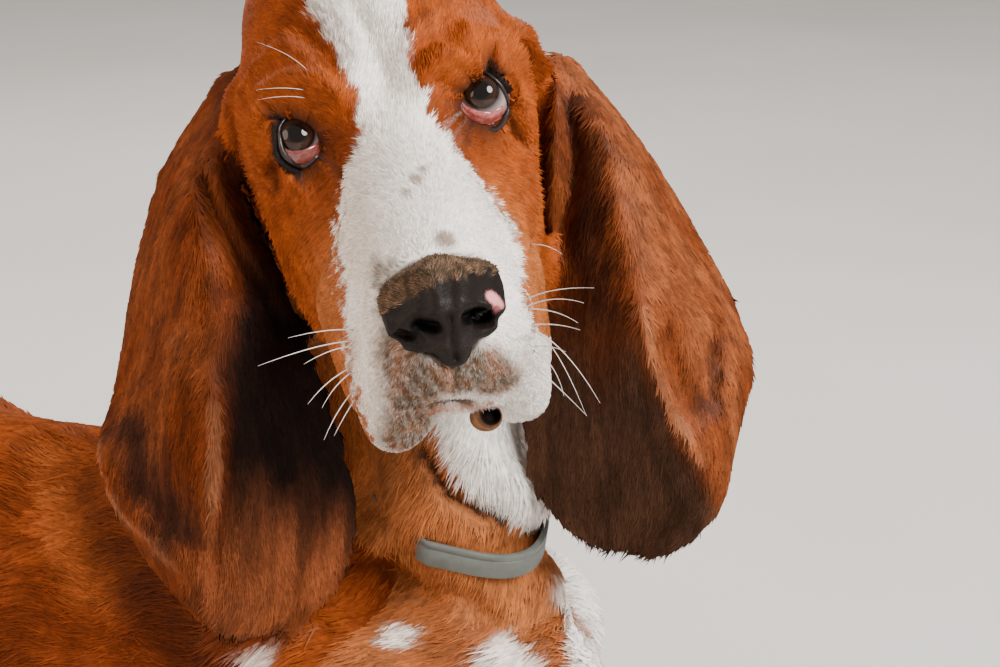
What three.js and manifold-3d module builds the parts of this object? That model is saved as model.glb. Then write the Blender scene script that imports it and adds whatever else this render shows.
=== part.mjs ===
// A basset hound lying down with its head up and turned to its right, life size, in millimetres.
// +Z is up, the dog's body heads -Y and its left side is +X. The flesh is one smooth distance field,
// which is polygonised region by region and parted with thin plane cuts.
import * as THREE from 'three';
import { mergeVertices } from 'three/addons/utils/BufferGeometryUtils.js';
import Module from 'manifold-3d';

const wasm = await Module();
wasm.setup();

// Driving sizes
const gap = 0.3;
const halfGap = gap / 2;
const eyeSpacing = 80;
const eyeRadius = 11.8;
const headLength = 245;
const chestHalfWidth = 100;
const earThickness = 7;
const collarWidth = 12;
const collarThickness = 3.6;
const clawLength = 17;

// The head's place: midway between the eyes, and how far it is turned, nodded and rolled
const eyesMiddle = new THREE.Vector3(-72, -244, 425);
const gazeYaw = THREE.MathUtils.degToRad(-55);
const headYaw = THREE.MathUtils.degToRad(-45.5);
const headNod = THREE.MathUtils.degToRad(17);
const headRoll = THREE.MathUtils.degToRad(-12.5);
const headMatrix = new THREE.Matrix4()
  .makeRotationFromEuler(new THREE.Euler(headNod, headRoll, headYaw, 'ZXY'))
  .setPosition(eyesMiddle);
const headInverse = headMatrix.clone().invert();
const gazeMatrix = new THREE.Matrix4().makeRotationZ(gazeYaw).setPosition(eyesMiddle);

// Distance fields: each form has a blend, which is how softly it joins the rest, and its sizes
function coneDistance(x, y, z, c) {
  const ux = c.b[0] - c.a[0];
  const uy = c.b[1] - c.a[1];
  const uz = c.b[2] - c.a[2];
  const px = x - c.a[0];
  const py = y - c.a[1];
  const pz = z - c.a[2];
  const t = Math.min(1, Math.max(0, (px * ux + py * uy + pz * uz) / (ux * ux + uy * uy + uz * uz)));
  return Math.hypot(px - ux * t, py - uy * t, pz - uz * t) - (c.ra + (c.rb - c.ra) * t);
}

function ellipsoidDistance(x, y, z, e) {
  const px = (x - e.c[0]) / e.r[0];
  const py = (y - e.c[1]) / e.r[1];
  const pz = (z - e.c[2]) / e.r[2];
  const k = Math.hypot(px, py, pz);
  const g = Math.hypot(px / e.r[0], py / e.r[1], pz / e.r[2]);
  return g < 1e-9 ? -Math.min(...e.r) : (k * (k - 1)) / g;
}

const cone = (blend, a, ra, b, rb) => ({ blend, distance: coneDistance, a, b, ra, rb });
const egg = (blend, c, r) => ({ blend, distance: ellipsoidDistance, c, r });

// The same form on the other side of the middle
function mirrored(form) {
  const flip = (p) => p && [-p[0], p[1], p[2]];
  return { ...form, a: flip(form.a), b: flip(form.b), c: flip(form.c) };
}

const bothSides = (forms) => [...forms, ...forms.map(mirrored)];

function smoothMin(a, b, k) {
  const h = Math.max(k - Math.abs(a - b), 0) / k;
  return Math.min(a, b) - (h * h * k) / 4;
}

function fieldOf(forms, x, y, z, start = 1e6) {
  let d = start;
  for (const form of forms) {
    d = smoothMin(d, form.distance(x, y, z, form), form.blend);
  }
  return d;
}

// Forms of the head in its own frame: x to the dog's left, -y forward, z up, origin between the eyes
const headForms = [
  egg(14, [0, 60, 10], [56, 72, 54]),
  cone(18, [0, 55, 32], 26, [0, headLength / 2 - 6, 36], 15),
  cone(16, [0, 6, -20], 32, [0, -96, -31], 24),
  cone(12, [0, -60, -38], 34, [2, -92, -47], 30),
  cone(10, [0, -86, -81], 13, [0, 14, -70], 26),
  cone(26, [0, 40, -40], 50, [0, 95, -35], 48),
  ...bothSides([
    cone(12, [22, -3, 22], 15, [44, 10, 17], 14),
    egg(14, [40, 30, -18], [24, 46, 36]),
    cone(12, [22, -86, -58], 21, [26, -80, -95], 16),
    cone(12, [27, -54, -52], 22, [31, -52, -99], 15),
    cone(12, [34, -10, -42], 20, [32, -24, -92], 16),
    cone(7, [54, 14, 4], 9, [44, -12, -88], 9),
    cone(7, [64, 42, 2], 9, [50, 22, -104], 10),
  ]),
];

// Forms of the body in the whole dog's frame
const toeSteps = [-1.5, -0.5, 0.5, 1.5];
const toeLead = 7;
const clawSpacing = 19.4;
const clawsAhead = 60;
const pawPlaces = { foreleg: [96, -372], hindleg: [128, 88] };
const pawForms = ([x, y]) => [
  egg(10, [x, y, 24], [33, 42, 24]),
  ...toeSteps.map((k) => {
    const reach = y - 44 - toeLead * (1.5 - Math.abs(k));
    return cone(5, [x + k * 17, y - 12, 24], 13, [x + k * 19, reach, 15], 12.5);
  }),
];
const bodyForms = [
  egg(30, [0, -165, 106], [chestHalfWidth, 122, 98]),
  egg(40, [0, -20, 100], [102, 200, 97]),
  egg(40, [0, 130, 94], [86, 150, 92]),
  egg(40, [0, 225, 100], [92, 106, 98]),
  cone(40, [0, -84, 186], 34, [0, 170, 160], 30),
  cone(30, [6, -268, 118], 41, [0, -200, 70], 46),
  cone(30, [12, -172, 372], 46, [0, -118, 225], 58),
  cone(22, [0, -206, 345], 37, [2, -224, 236], 38),
  cone(20, [-2, -226, 222], 34, [4, -238, 140], 43),
  cone(26, [0, 292, 116], 30, [8, 345, 62], 21),
  cone(20, [8, 345, 62], 21, [42, 410, 24], 17),
  cone(16, [42, 410, 24], 17, [150, 520, 13], 8),
  ...bothSides([
    cone(26, [44, -66, 180], 34, [72, -208, 132], 38),
    cone(24, [78, -214, 130], 36, [100, -150, 46], 38),
    cone(20, [104, -152, 40], 34, [97, -330, 30], 27),
    egg(26, [96, 215, 88], [42, 104, 84]),
    cone(26, [100, 150, 70], 50, [118, 205, 50], 40),
    cone(18, [124, 150, 44], 30, [128, 262, 28], 25),
    cone(16, [130, 262, 26], 24, [128, 110, 24], 23),
    ...pawForms(pawPlaces.foreleg),
    ...pawForms(pawPlaces.hindleg),
  ]),
];

const headReach = 40;
function flesh(x, y, z) {
  const body = fieldOf(bodyForms, x, y, z);
  const e = headInverse.elements;
  const hx = e[0] * x + e[4] * y + e[8] * z + e[12];
  const hy = e[1] * x + e[5] * y + e[9] * z + e[13];
  const hz = e[2] * x + e[6] * y + e[10] * z + e[14];
  const head = fieldOf(headForms, hx, hy, hz);
  return smoothMin(body, head, headReach);
}

// Surface nets: one vertex in each cell that the surface crosses, drawn onto the field
function polygonise(field, low, high, cell, shift = 0) {
  const n = [0, 1, 2].map((i) => Math.ceil((high[i] - low[i]) / cell) + 2);
  const at = (i, k) => low[k] + (i - 0.5 + shift) * cell;
  const values = new Float64Array(n[0] * n[1] * n[2]);
  const index = (i, j, k) => i + n[0] * (j + n[1] * k);
  for (let k = 0; k < n[2]; k++) {
    for (let j = 0; j < n[1]; j++) {
      for (let i = 0; i < n[0]; i++) {
        const edge = [i, j, k].some((v, m) => v === 0 || v === n[m] - 1);
        const value = field(at(i, 0), at(j, 1), at(k, 2));
        values[index(i, j, k)] = edge ? Math.max(value, cell / 2) : value || 1e-6;
      }
    }
  }
  const positions = [];
  const vertexOf = new Int32Array(values.length).fill(-1);
  const corner = [0, 1, 2, 3, 4, 5, 6, 7].map((c) => [c & 1, (c >> 1) & 1, (c >> 2) & 1]);
  const edges = corner.flatMap((_, c) => [1, 2, 4].filter((bit) => !(c & bit)).map((bit) => [c, c + bit]));
  for (let k = 0; k < n[2] - 1; k++) {
    for (let j = 0; j < n[1] - 1; j++) {
      for (let i = 0; i < n[0] - 1; i++) {
        const v = corner.map((c) => values[index(i + c[0], j + c[1], k + c[2])]);
        const sum = [0, 0, 0];
        let count = 0;
        for (const [a, b] of edges) {
          if (v[a] < 0 === v[b] < 0) continue;
          const t = v[a] / (v[a] - v[b]);
          for (let m = 0; m < 3; m++) sum[m] += corner[a][m] + t * (corner[b][m] - corner[a][m]);
          count++;
        }
        if (!count) continue;
        const p = [at(i + sum[0] / count, 0), at(j + sum[1] / count, 1), at(k + sum[2] / count, 2)];
        vertexOf[index(i, j, k)] = positions.length / 3;
        positions.push(...drawnOn(field, p, cell * 0.45));
      }
    }
  }
  const triangles = [];
  const quad = (a, b, c, d, flip) => triangles.push(...(flip ? [a, c, b, a, d, c] : [a, b, c, a, c, d]));
  for (let k = 0; k < n[2] - 1; k++) {
    for (let j = 0; j < n[1] - 1; j++) {
      for (let i = 0; i < n[0] - 1; i++) {
        const here = values[index(i, j, k)] < 0;
        const crossed = (a, b, c) => (values[index(i + a, j + b, k + c)] < 0) !== here;
        const V = (a, b, c) => vertexOf[index(i - a, j - b, k - c)];
        if (crossed(1, 0, 0)) quad(V(0, 1, 1), V(0, 0, 1), V(0, 0, 0), V(0, 1, 0), !here);
        if (crossed(0, 1, 0)) quad(V(1, 0, 1), V(1, 0, 0), V(0, 0, 0), V(0, 0, 1), !here);
        if (crossed(0, 0, 1)) quad(V(1, 1, 0), V(0, 1, 0), V(0, 0, 0), V(1, 0, 0), !here);
      }
    }
  }
  const geometry = new THREE.BufferGeometry();
  geometry.setAttribute('position', new THREE.Float32BufferAttribute(positions, 3));
  geometry.setIndex(triangles);
  return geometry;
}

// Moves a point along the field's slope until it lies on the surface, at most the given way
function drawnOn(field, p, most) {
  const q = [...p];
  const step = 0.5;
  for (let turn = 0; turn < 3; turn++) {
    const d = field(...q);
    const slope = [0, 1, 2].map((m) => {
      const r = [...q];
      r[m] += step;
      return (field(...r) - d) / step;
    });
    const size = slope[0] ** 2 + slope[1] ** 2 + slope[2] ** 2;
    for (let m = 0; m < 3; m++) q[m] -= (d * slope[m]) / Math.max(size, 0.2);
  }
  const away = Math.hypot(q[0] - p[0], q[1] - p[1], q[2] - p[2]);
  const keep = away > most ? most / away : 1;
  return q.map((v, m) => p[m] + (v - p[m]) * keep);
}

// Solids and their cuts
function solidOf(geometry) {
  const bare = geometry.clone();
  for (const name of ['normal', 'uv']) bare.deleteAttribute(name);
  const merged = mergeVertices(bare, 1e-4);
  return new wasm.Manifold(new wasm.Mesh({
    numProp: 3,
    vertProperties: new Float32Array(merged.attributes.position.array),
    triVerts: new Uint32Array(merged.index.array),
  }));
}

// A closed mesh from points and triangles, turned outside out if its triangles wind inwards
function closedSolid(positions, triangles) {
  const geometry = new THREE.BufferGeometry();
  geometry.setAttribute('position', new THREE.Float32BufferAttribute(positions, 3));
  geometry.setIndex(triangles);
  const solid = solidOf(geometry);
  return solid.volume() > 0 ? solid : solidOf(geometry.clone().setIndex([...triangles].reverse()));
}

function geometryOf(solid) {
  const mesh = solid.getMesh();
  const geometry = new THREE.BufferGeometry();
  geometry.setAttribute('position', new THREE.Float32BufferAttribute(mesh.vertProperties, 3));
  geometry.setIndex([...mesh.triVerts]);
  geometry.computeVertexNormals();
  return geometry;
}

// The whole solid grown by a small amount along its vertex normals, to cut its neighbours with
function grown(solid, amount) {
  const geometry = geometryOf(solid);
  const position = geometry.attributes.position;
  const normal = geometry.attributes.normal;
  for (let i = 0; i < position.count; i++) {
    position.setXYZ(
      i,
      position.getX(i) + amount * normal.getX(i),
      position.getY(i) + amount * normal.getY(i),
      position.getZ(i) + amount * normal.getZ(i),
    );
  }
  return solidOf(geometry);
}

const moved = (solid, matrix) => solid.transform(matrix.elements);
const largest = (solid) => solid.decompose().reduce((a, b) => (a.volume() > b.volume() ? a : b));

// True where no edge of the mesh is shared by more than two triangles
function isPlain(geometry) {
  const index = geometry.index.array;
  const seen = new Map();
  for (let i = 0; i < index.length; i += 3) {
    for (let m = 0; m < 3; m++) {
      const a = index[i + m];
      const b = index[i + ((m + 1) % 3)];
      const key = Math.min(a, b) * 1e6 + Math.max(a, b);
      seen.set(key, (seen.get(key) || 0) + 1);
    }
  }
  return [...seen.values()].every((count) => count === 2);
}

// The grid is shifted a little until the mesh comes out plain
const gridTries = 10;
const gridStep = 0.083;
function fleshSolid(field, low, high, cell) {
  let geometry = null;
  for (let turn = 0; turn < gridTries; turn++) {
    geometry = polygonise(field, low, high, cell, turn * gridStep);
    if (isPlain(geometry)) break;
  }
  return largest(solidOf(geometry));
}

// Keeps the side of a plane that its normal points to, less half the gap
function kept(solid, normal, point) {
  const n = normal.clone().normalize();
  return solid.trimByPlane([n.x, n.y, n.z], n.dot(point) + halfGap);
}

function boxSolid(low, high) {
  const size = high.map((v, i) => v - low[i]);
  const geometry = new THREE.BoxGeometry(...size);
  geometry.translate(...high.map((v, i) => (v + low[i]) / 2));
  return solidOf(geometry);
}

const withMargin = (low, high, m) => [low.map((v) => v - m), high.map((v) => v + m)];

// Cutting planes between head, neck and torso
const headPlane = {
  point: new THREE.Vector3(0, 66, -38).applyMatrix4(headMatrix),
  normal: new THREE.Vector3(0, -1, 1).transformDirection(headMatrix),
};
const neckPlane = {
  point: new THREE.Vector3(0, -190, 222),
  normal: new THREE.Vector3(0, -0.48, 0.88).normalize(),
};
const tailPlane = {
  point: new THREE.Vector3(0, 318, 90),
  normal: new THREE.Vector3(0, 0.9, -0.3).normalize(),
};
const back = (plane) => ({ point: plane.point, normal: plane.normal.clone().negate() });
const keep = (solid, plane) => kept(solid, plane.normal, plane.point);
const floor = { point: new THREE.Vector3(0, 0, -halfGap), normal: new THREE.Vector3(0, 0, 1) };

// Head
const headCell = 9;
const headField = (x, y, z) => {
  const p = new THREE.Vector3(x, y, z).applyMatrix4(headMatrix);
  return flesh(p.x, p.y, p.z);
};
const headBox = [[-86, -140, -135], [86, 150, 72]];
const headAtRest = fleshSolid(headField, ...headBox, headCell);
const headShell = keep(moved(headAtRest, headMatrix), headPlane);

function ellipsoidSolid(center, radii, across, down) {
  const geometry = new THREE.SphereGeometry(1, across, down);
  geometry.scale(...radii);
  geometry.translate(...center);
  return solidOf(geometry);
}

// Eyes, with lids that lap over each ball and leave an opening in front
const eyePlaces = [eyeSpacing / 2, -eyeSpacing / 2].map((x) => [x, 0, 0]);
const lidThickness = 2.6;
const ball = (center, r, sides) => ellipsoidSolid(center, [r, r, r], sides, sides / 2);
const lids = eyePlaces.map((c) => ball(c, eyeRadius + lidThickness, 20));
const eyeRooms = eyePlaces.map((c) => ball(c, eyeRadius + gap, 24));
const openingRadii = [9, 11, 7.6];
const openingAhead = eyeRadius + 3;
const lidOpenings = eyePlaces.map(([x, y, z]) => (
  ellipsoidSolid([x, y - openingAhead, z - 1], openingRadii, 16, 10)
));

// Nose leather: a rounded wedge with two nostrils, a little left of the middle and low
const nosePlace = new THREE.Matrix4().makeTranslation(3, 0, -4.5);
const noseForms = [
  cone(8, [0, -108, -14], 14, [0, -117, -19], 13),
  cone(8, [0, -112, -32], 9, [0, -117, -37], 7),
  ...bothSides([
    cone(7, [14, -104, -19], 11, [14, -115, -23], 10),
  ]),
];
const nostrils = bothSides([
  cone(1, [10, -130, -26], 3.6, [17, -118, -23], 4.4),
  cone(1, [17, -120, -24], 4.2, [26, -114, -31], 2),
]);
const noseField = (x, y, z) => {
  const hollow = -Math.min(...nostrils.map((f) => f.distance(x, y, z, f)));
  return -smoothMin(-fieldOf(noseForms, x, y, z), -hollow, 2);
};
const noseCell = 4.4;
const noseBox = [[-32, -140, -54], [32, -86, 8]];
const noseAtRest = moved(fleshSolid(noseField, ...noseBox, noseCell), nosePlace);
const noseRoom = grown(noseAtRest, 2 * gap);

// The line of the mouth: a groove under the front lip and back along both flews
const mouthHalf = [[6, -106, -83], [20, -92, -103], [36, -40, -109]];
const mouthPoints = [...mouthHalf.map(([x, y, z]) => [-x, y, z]).reverse(), [0, -109, -78], ...mouthHalf];
const mouthRadius = 2.4;
function tube(points, radius, sides, steps) {
  const circle = new THREE.Shape();
  circle.absarc(0, 0, radius, 0, 2 * Math.PI);
  const path = new THREE.CatmullRomCurve3(points.map((p) => new THREE.Vector3(...p)));
  return solidOf(new THREE.ExtrudeGeometry(circle, {
    extrudePath: path, steps, bevelEnabled: false, curveSegments: sides,
  }));
}
const mouthGroove = tube(mouthPoints, mouthRadius, 6, 24);

let head = headShell;
for (const lid of lids) head = head.add(moved(lid, headMatrix));
for (const cut of [...eyeRooms, ...lidOpenings, noseRoom, mouthGroove]) {
  head = head.subtract(moved(cut, headMatrix));
}
head = largest(head);

// Neck, torso, legs and tail, each at its own fineness
const neckCell = 16.3;
const torsoCell = 26;
const tailCell = 14;
const neckBox = [[-130, -330, 130], [130, -20, 470]];
const torsoBox = [[-150, -345, -20], [150, 350, 290]];
const tailBox = [[-60, 290, -20], [180, 545, 160]];
const neckRaw = fleshSolid(flesh, ...neckBox, neckCell);
const neck = largest(keep(keep(neckRaw, back(headPlane)), neckPlane));

const legCell = 18;
const pawCell = 12;
const legBoxes = {
  foreleg: [[64, -480, -20], [190, -112, 120]],
  hindleg: [[64, 20, -20], [210, 322, 152]],
};
const pawBoxes = {
  foreleg: [[60, -490, -30], [200, -338, 70]],
  hindleg: [[60, 10, -30], [220, 118, 62]],
};
const torsoRaw = keep(fleshSolid(flesh, ...torsoBox, torsoCell), floor);
let torso = keep(keep(torsoRaw, back(neckPlane)), back(tailPlane));
const mirror = (solid) => solid.mirror([1, 0, 0]);
for (const legBox of Object.values(legBoxes)) {
  const room = boxSolid(...withMargin(...legBox, gap));
  torso = torso.subtract(room).subtract(mirror(room));
}
torso = largest(torso);

// Claws: a short curved cone at the tip of each toe
const clawRadius = 4;
const clawDroop = 3.5;
const clawHeight = 12;
function claw(x, y) {
  const geometry = new THREE.ConeGeometry(clawRadius, clawLength, 8, 3);
  const position = geometry.attributes.position;
  for (let i = 0; i < position.count; i++) {
    const along = position.getY(i) / clawLength + 0.5;
    position.setZ(i, position.getZ(i) - clawDroop * along * along);
  }
  geometry.rotateX(Math.PI);
  geometry.rotateX(THREE.MathUtils.degToRad(14));
  geometry.translate(x, y, clawHeight);
  return solidOf(geometry);
}

function legParts(kind) {
  const legBox = legBoxes[kind];
  const pawBox = pawBoxes[kind];
  const [pawX, pawY] = pawPlaces[kind];
  const whole = boxSolid(...legBox);
  const legRaw = keep(fleshSolid(flesh, ...withMargin(...legBox, legCell), legCell), floor);
  const leg = largest(legRaw.intersect(whole).subtract(boxSolid(...pawBox)));
  let paw = keep(fleshSolid(flesh, ...withMargin(...pawBox, pawCell), pawCell), floor).intersect(whole);
  for (const k of toeSteps) {
    paw = paw.add(claw(pawX + k * clawSpacing, pawY - clawsAhead - toeLead * (1.5 - Math.abs(k))));
  }
  paw = largest(keep(paw, floor).intersect(boxSolid(...withMargin(...pawBox, -gap))));
  return { leg, paw };
}

const tail = largest(keep(keep(fleshSolid(flesh, ...tailBox, tailCell), floor), tailPlane));

// Collar: a plain band that follows the neck's own section, high at the nape and low at the throat
const collarCentre = new THREE.Vector3(-4, -196, 238);
const collarAxis = new THREE.Vector3(-0.16, -0.24, 0.87).normalize();
const collarSide = new THREE.Vector3(1, 0, 0).cross(collarAxis).normalize();
const collarAcross = collarAxis.clone().cross(collarSide).normalize();
const collarSteps = 32;
const collarInner = 3;

function neckRadius(angle, lift) {
  const away = collarAcross.clone().multiplyScalar(Math.cos(angle));
  away.addScaledVector(collarSide, Math.sin(angle));
  const from = collarCentre.clone().addScaledVector(collarAxis, lift);
  let r = 20;
  for (let i = 0; i < 40; i++) {
    const p = from.clone().addScaledVector(away, r);
    r -= 0.8 * flesh(p.x, p.y, p.z);
  }
  return { from, away, r };
}

function collarSolid() {
  const positions = [];
  const outer = collarInner + collarThickness;
  const section = [[collarInner, -1], [collarInner, 1], [outer, 1], [outer, -1]];
  for (let i = 0; i < collarSteps; i++) {
    const angle = (i / collarSteps) * 2 * Math.PI;
    for (const [out, rise] of section) {
      const { from, away, r } = neckRadius(angle, (rise * collarWidth) / 2);
      positions.push(...from.addScaledVector(away, r + out).toArray());
    }
  }
  const triangles = [];
  const n = section.length;
  for (let i = 0; i < collarSteps; i++) {
    const next = (i + 1) % collarSteps;
    for (let j = 0; j < n; j++) {
      const k = (j + 1) % n;
      triangles.push(i * n + j, next * n + k, next * n + j, i * n + j, i * n + k, next * n + k);
    }
  }
  return closedSolid(positions, triangles);
}
const collar = largest(collarSolid().subtract(grown(neckRaw, gap)).subtract(grown(torso, gap)));

// Ears: a hanging leaf folded lengthwise, given by its front edge, its fold and its rear edge.
// Points are to the side of, behind and above the eyes' middle, as seen along the gaze.
const earGuides = {
  right: {
    front: [
      [-58, 48, 3], [-58, 25, -37], [-43, 26, -89], [-28, 28, -137],
      [-18, 30, -187], [-24, 28, -223], [-46, 22, -243],
    ],
    fold: [
      [-72, 70, 8], [-83, 32, -29], [-82, 5, -72], [-80, -12, -117],
      [-82, -18, -160], [-86, -12, -208], [-78, 2, -240],
    ],
    rear: [
      [-80, 98, -6], [-106, 78, -38], [-118, 58, -75], [-130, 42, -137],
      [-136, 24, -163], [-122, 22, -196], [-95, 14, -222],
    ],
  },
  left: {
    front: [
      [62, 54, 14], [68, 44, -26], [63, 46, -73], [58, 46, -120],
      [57, 42, -159], [67, 32, -190], [92, 20, -206],
    ],
    fold: [
      [70, 70, 16], [88, 32, -14], [99, 5, -57], [110, -12, -96],
      [126, -18, -135], [140, -10, -170], [122, 2, -200],
    ],
    rear: [
      [77, 98, 4], [109, 80, -28], [137, 60, -68], [160, 38, -113],
      [157, 25, -136], [146, 20, -158], [136, 10, -182],
    ],
  },
};
const earRows = 15;
const earAcross = 8;
const rimShare = 0.6;

function earSolid(guide) {
  const curves = ['front', 'fold', 'rear'].map((name) => {
    const points = guide[name].map((p) => new THREE.Vector3(...p).applyMatrix4(gazeMatrix));
    return new THREE.CatmullRomCurve3(points);
  });
  const grid = [];
  for (let i = 0; i < earRows; i++) {
    const t = i / (earRows - 1);
    const [a, b, c] = curves.map((curve) => curve.getPoint(t));
    const across = new THREE.CatmullRomCurve3([a, b, c]);
    const row = [];
    for (let j = 0; j <= earAcross; j++) row.push(across.getPoint(j / earAcross));
    grid.push(row);
  }
  const normals = grid.map((row, i) => row.map((p, j) => {
    const down = grid[Math.min(i + 1, earRows - 1)][j].clone().sub(grid[Math.max(i - 1, 0)][j]);
    const side = row[Math.min(j + 1, earAcross)].clone().sub(row[Math.max(j - 1, 0)]);
    return down.cross(side).normalize();
  }));
  const positions = [];
  const half = (i, j) => {
    const rim = Math.min(j, earAcross - j, earRows - 1 - i) === 0;
    return (rim ? rimShare : 1) * (earThickness / 2);
  };
  for (const sign of [1, -1]) {
    grid.forEach((row, i) => row.forEach((p, j) => {
      positions.push(...p.clone().addScaledVector(normals[i][j], sign * half(i, j)).toArray());
    }));
  }
  const width = earAcross + 1;
  const count = earRows * width;
  const triangles = [];
  const face = (a, b, c, d) => triangles.push(a, b, c, a, c, d);
  const V = (i, j, s) => s * count + i * width + j;
  for (let i = 0; i < earRows - 1; i++) {
    for (let j = 0; j < earAcross; j++) {
      face(V(i, j, 0), V(i + 1, j, 0), V(i + 1, j + 1, 0), V(i, j + 1, 0));
      triangles.push(V(i, j, 1), V(i + 1, j + 1, 1), V(i + 1, j, 1));
      triangles.push(V(i, j, 1), V(i, j + 1, 1), V(i + 1, j + 1, 1));
    }
    face(V(i, 0, 1), V(i + 1, 0, 1), V(i + 1, 0, 0), V(i, 0, 0));
    face(V(i, earAcross, 0), V(i + 1, earAcross, 0), V(i + 1, earAcross, 1), V(i, earAcross, 1));
  }
  for (let j = 0; j < earAcross; j++) {
    face(V(0, j + 1, 1), V(0, j, 1), V(0, j, 0), V(0, j + 1, 0));
    const last = earRows - 1;
    face(V(last, j, 1), V(last, j + 1, 1), V(last, j + 1, 0), V(last, j, 0));
  }
  return closedSolid(positions, triangles);
}

const clearance = gap + 0.3;
const besideEars = [moved(headAtRest, headMatrix), neckRaw, torsoRaw, collar];
const earCutters = besideEars.map((solid) => grown(solid, clearance));
const ears = Object.fromEntries(Object.entries(earGuides).map(([name, guide]) => {
  let solid = earSolid(guide);
  for (const cutter of earCutters) solid = solid.subtract(cutter);
  return [name, largest(solid)];
}));

// Materials
const look = (color, roughness) => new THREE.MeshStandardMaterial({ color, roughness, metalness: 0 });
const redCoat = look(0xa4562c, 0.75);
const darkCoat = look(0x6b3a22, 0.75);
const whiteCoat = look(0xe9e2da, 0.75);
const eyeLook = look(0x2a140c, 0.1);
const noseLook = look(0x2b2426, 0.45);
const collarLook = look(0x6c716c, 0.6);

const dog = new THREE.Group();
const coarsenings = [0.15, 0.25, 0.1, 0.4, 0.05, 0.6];
function plainGeometry(solid) {
  let geometry = null;
  for (const amount of coarsenings) {
    geometry = geometryOf(largest(solid.simplify(amount)));
    const merged = mergeVertices(geometry.clone().deleteAttribute('normal'), 1e-3);
    if (isPlain(merged)) break;
  }
  return geometry;
}

function addPart(name, solid, material) {
  const mesh = new THREE.Mesh(plainGeometry(solid), material);
  mesh.name = name;
  dog.add(mesh);
}
addPart('head', head, redCoat);
eyePlaces.forEach((place, i) => {
  addPart(['eye_left', 'eye_right'][i], moved(ball(place, eyeRadius, 20), headMatrix), eyeLook);
});
addPart('nose', moved(noseAtRest, headMatrix), noseLook);
addPart('ear_left', ears.left, darkCoat);
addPart('ear_right', ears.right, darkCoat);
addPart('neck', neck, redCoat);
addPart('collar', collar, collarLook);
addPart('torso', torso, redCoat);
const pawNames = { foreleg: 'forepaw', hindleg: 'hindpaw' };
for (const kind of Object.keys(legBoxes)) {
  const { leg, paw } = legParts(kind);
  addPart(`${kind}_left`, leg, redCoat);
  addPart(`${kind}_right`, mirror(leg), redCoat);
  addPart(`${pawNames[kind]}_left`, paw, whiteCoat);
  addPart(`${pawNames[kind]}_right`, mirror(paw), whiteCoat);
}
addPart('tail', tail, redCoat);

// The whole stands with the middle of its underside at the origin
const box = new THREE.Box3().setFromObject(dog);
const middle = box.getCenter(new THREE.Vector3());
dog.position.set(-middle.x, -middle.y, -box.min.z);

export default dog;
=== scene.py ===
# %% [markdown]
# A basset hound lies on the floor with its head raised and turned to its right, as in a portrait
# taken from a metre away. The solids that carry the model are loaded first. They fix every size
# and place here, and all that follows is built over them in metres.

# %% Load the solids and set up
import math

import bmesh
import bpy
import numpy as np
from mathutils import Matrix, Vector
from mathutils.bvhtree import BVHTree


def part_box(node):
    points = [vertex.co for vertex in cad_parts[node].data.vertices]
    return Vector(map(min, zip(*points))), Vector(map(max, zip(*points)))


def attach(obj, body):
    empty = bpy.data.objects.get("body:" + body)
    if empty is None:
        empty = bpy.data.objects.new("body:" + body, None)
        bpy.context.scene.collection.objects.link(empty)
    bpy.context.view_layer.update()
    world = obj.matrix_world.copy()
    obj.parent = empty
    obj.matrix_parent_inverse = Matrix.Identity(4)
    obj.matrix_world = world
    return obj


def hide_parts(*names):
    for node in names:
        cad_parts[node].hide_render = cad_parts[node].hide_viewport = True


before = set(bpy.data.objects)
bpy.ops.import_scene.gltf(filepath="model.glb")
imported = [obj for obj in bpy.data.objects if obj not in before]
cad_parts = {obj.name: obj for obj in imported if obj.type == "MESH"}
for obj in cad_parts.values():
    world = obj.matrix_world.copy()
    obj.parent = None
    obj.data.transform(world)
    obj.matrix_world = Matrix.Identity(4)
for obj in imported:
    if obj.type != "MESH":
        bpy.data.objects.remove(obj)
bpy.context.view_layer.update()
bpy.ops.object.select_all(action="DESELECT")
MM = 0.001
rng = np.random.default_rng(7)

# %% [markdown]
# The head is turned away from the body, so much of the work is easier in its own directions. The
# eyes' nodes say where it is: the frame between the eyes has x to the dog's left, y back and z up.

# %% The head's own frame
EYES_MIDDLE_DRAWN = Vector((-72, -244, 425)) * MM
GAZE_YAW = math.radians(-55)
HEAD_YAW = math.radians(-45.5)
HEAD_NOD = math.radians(17)
HEAD_ROLL = math.radians(-12.5)


def middle(name):
    low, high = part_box(name)
    return (Vector(low) + Vector(high)) / 2


eyes = {"left": middle("eye_left"), "right": middle("eye_right")}
eye_middle = (eyes["left"] + eyes["right"]) / 2
shift = eye_middle - EYES_MIDDLE_DRAWN
turn = (Matrix.Rotation(HEAD_YAW, 4, "Z") @ Matrix.Rotation(HEAD_NOD, 4, "X")
        @ Matrix.Rotation(HEAD_ROLL, 4, "Y"))
HEAD = Matrix.Translation(eye_middle) @ turn
EYE_RADIUS = (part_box("eye_left")[1][2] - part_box("eye_left")[0][2]) / 2
print("eyes' middle", [round(v, 4) for v in eye_middle], "eye radius", round(EYE_RADIUS, 4))


def moved(matrix, points):
    """Points as rows, moved by a 4 by 4 matrix."""
    m = np.array(matrix)
    return points @ m[:3, :3].T + m[:3, 3]


def head_place(points):
    """Row points in the head's own frame, in millimetres."""
    return moved(HEAD.inverted(), points) / MM


# %% [markdown]
# A portrait lens of 85 mm a metre from the eyes, looking down by 17 degrees, gives the picture's
# framing. The same numbers turn a place in the picture into a ray, which later puts each fold,
# whisker and marking where the picture shows it and on the surface that carries it.

# %% Camera
PICTURE = (1000, 667)
LENS = 85
SENSOR = 36
LOOK_DOWN = math.radians(17)
EYES_IN_PICTURE = (390, 118)
EYES_AWAY = 1.0
focal_px = LENS / SENSOR * PICTURE[0]
look = Matrix.Rotation(GAZE_YAW, 4, "Z") @ Matrix.Rotation(math.radians(90) - LOOK_DOWN, 4, "X")


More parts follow.
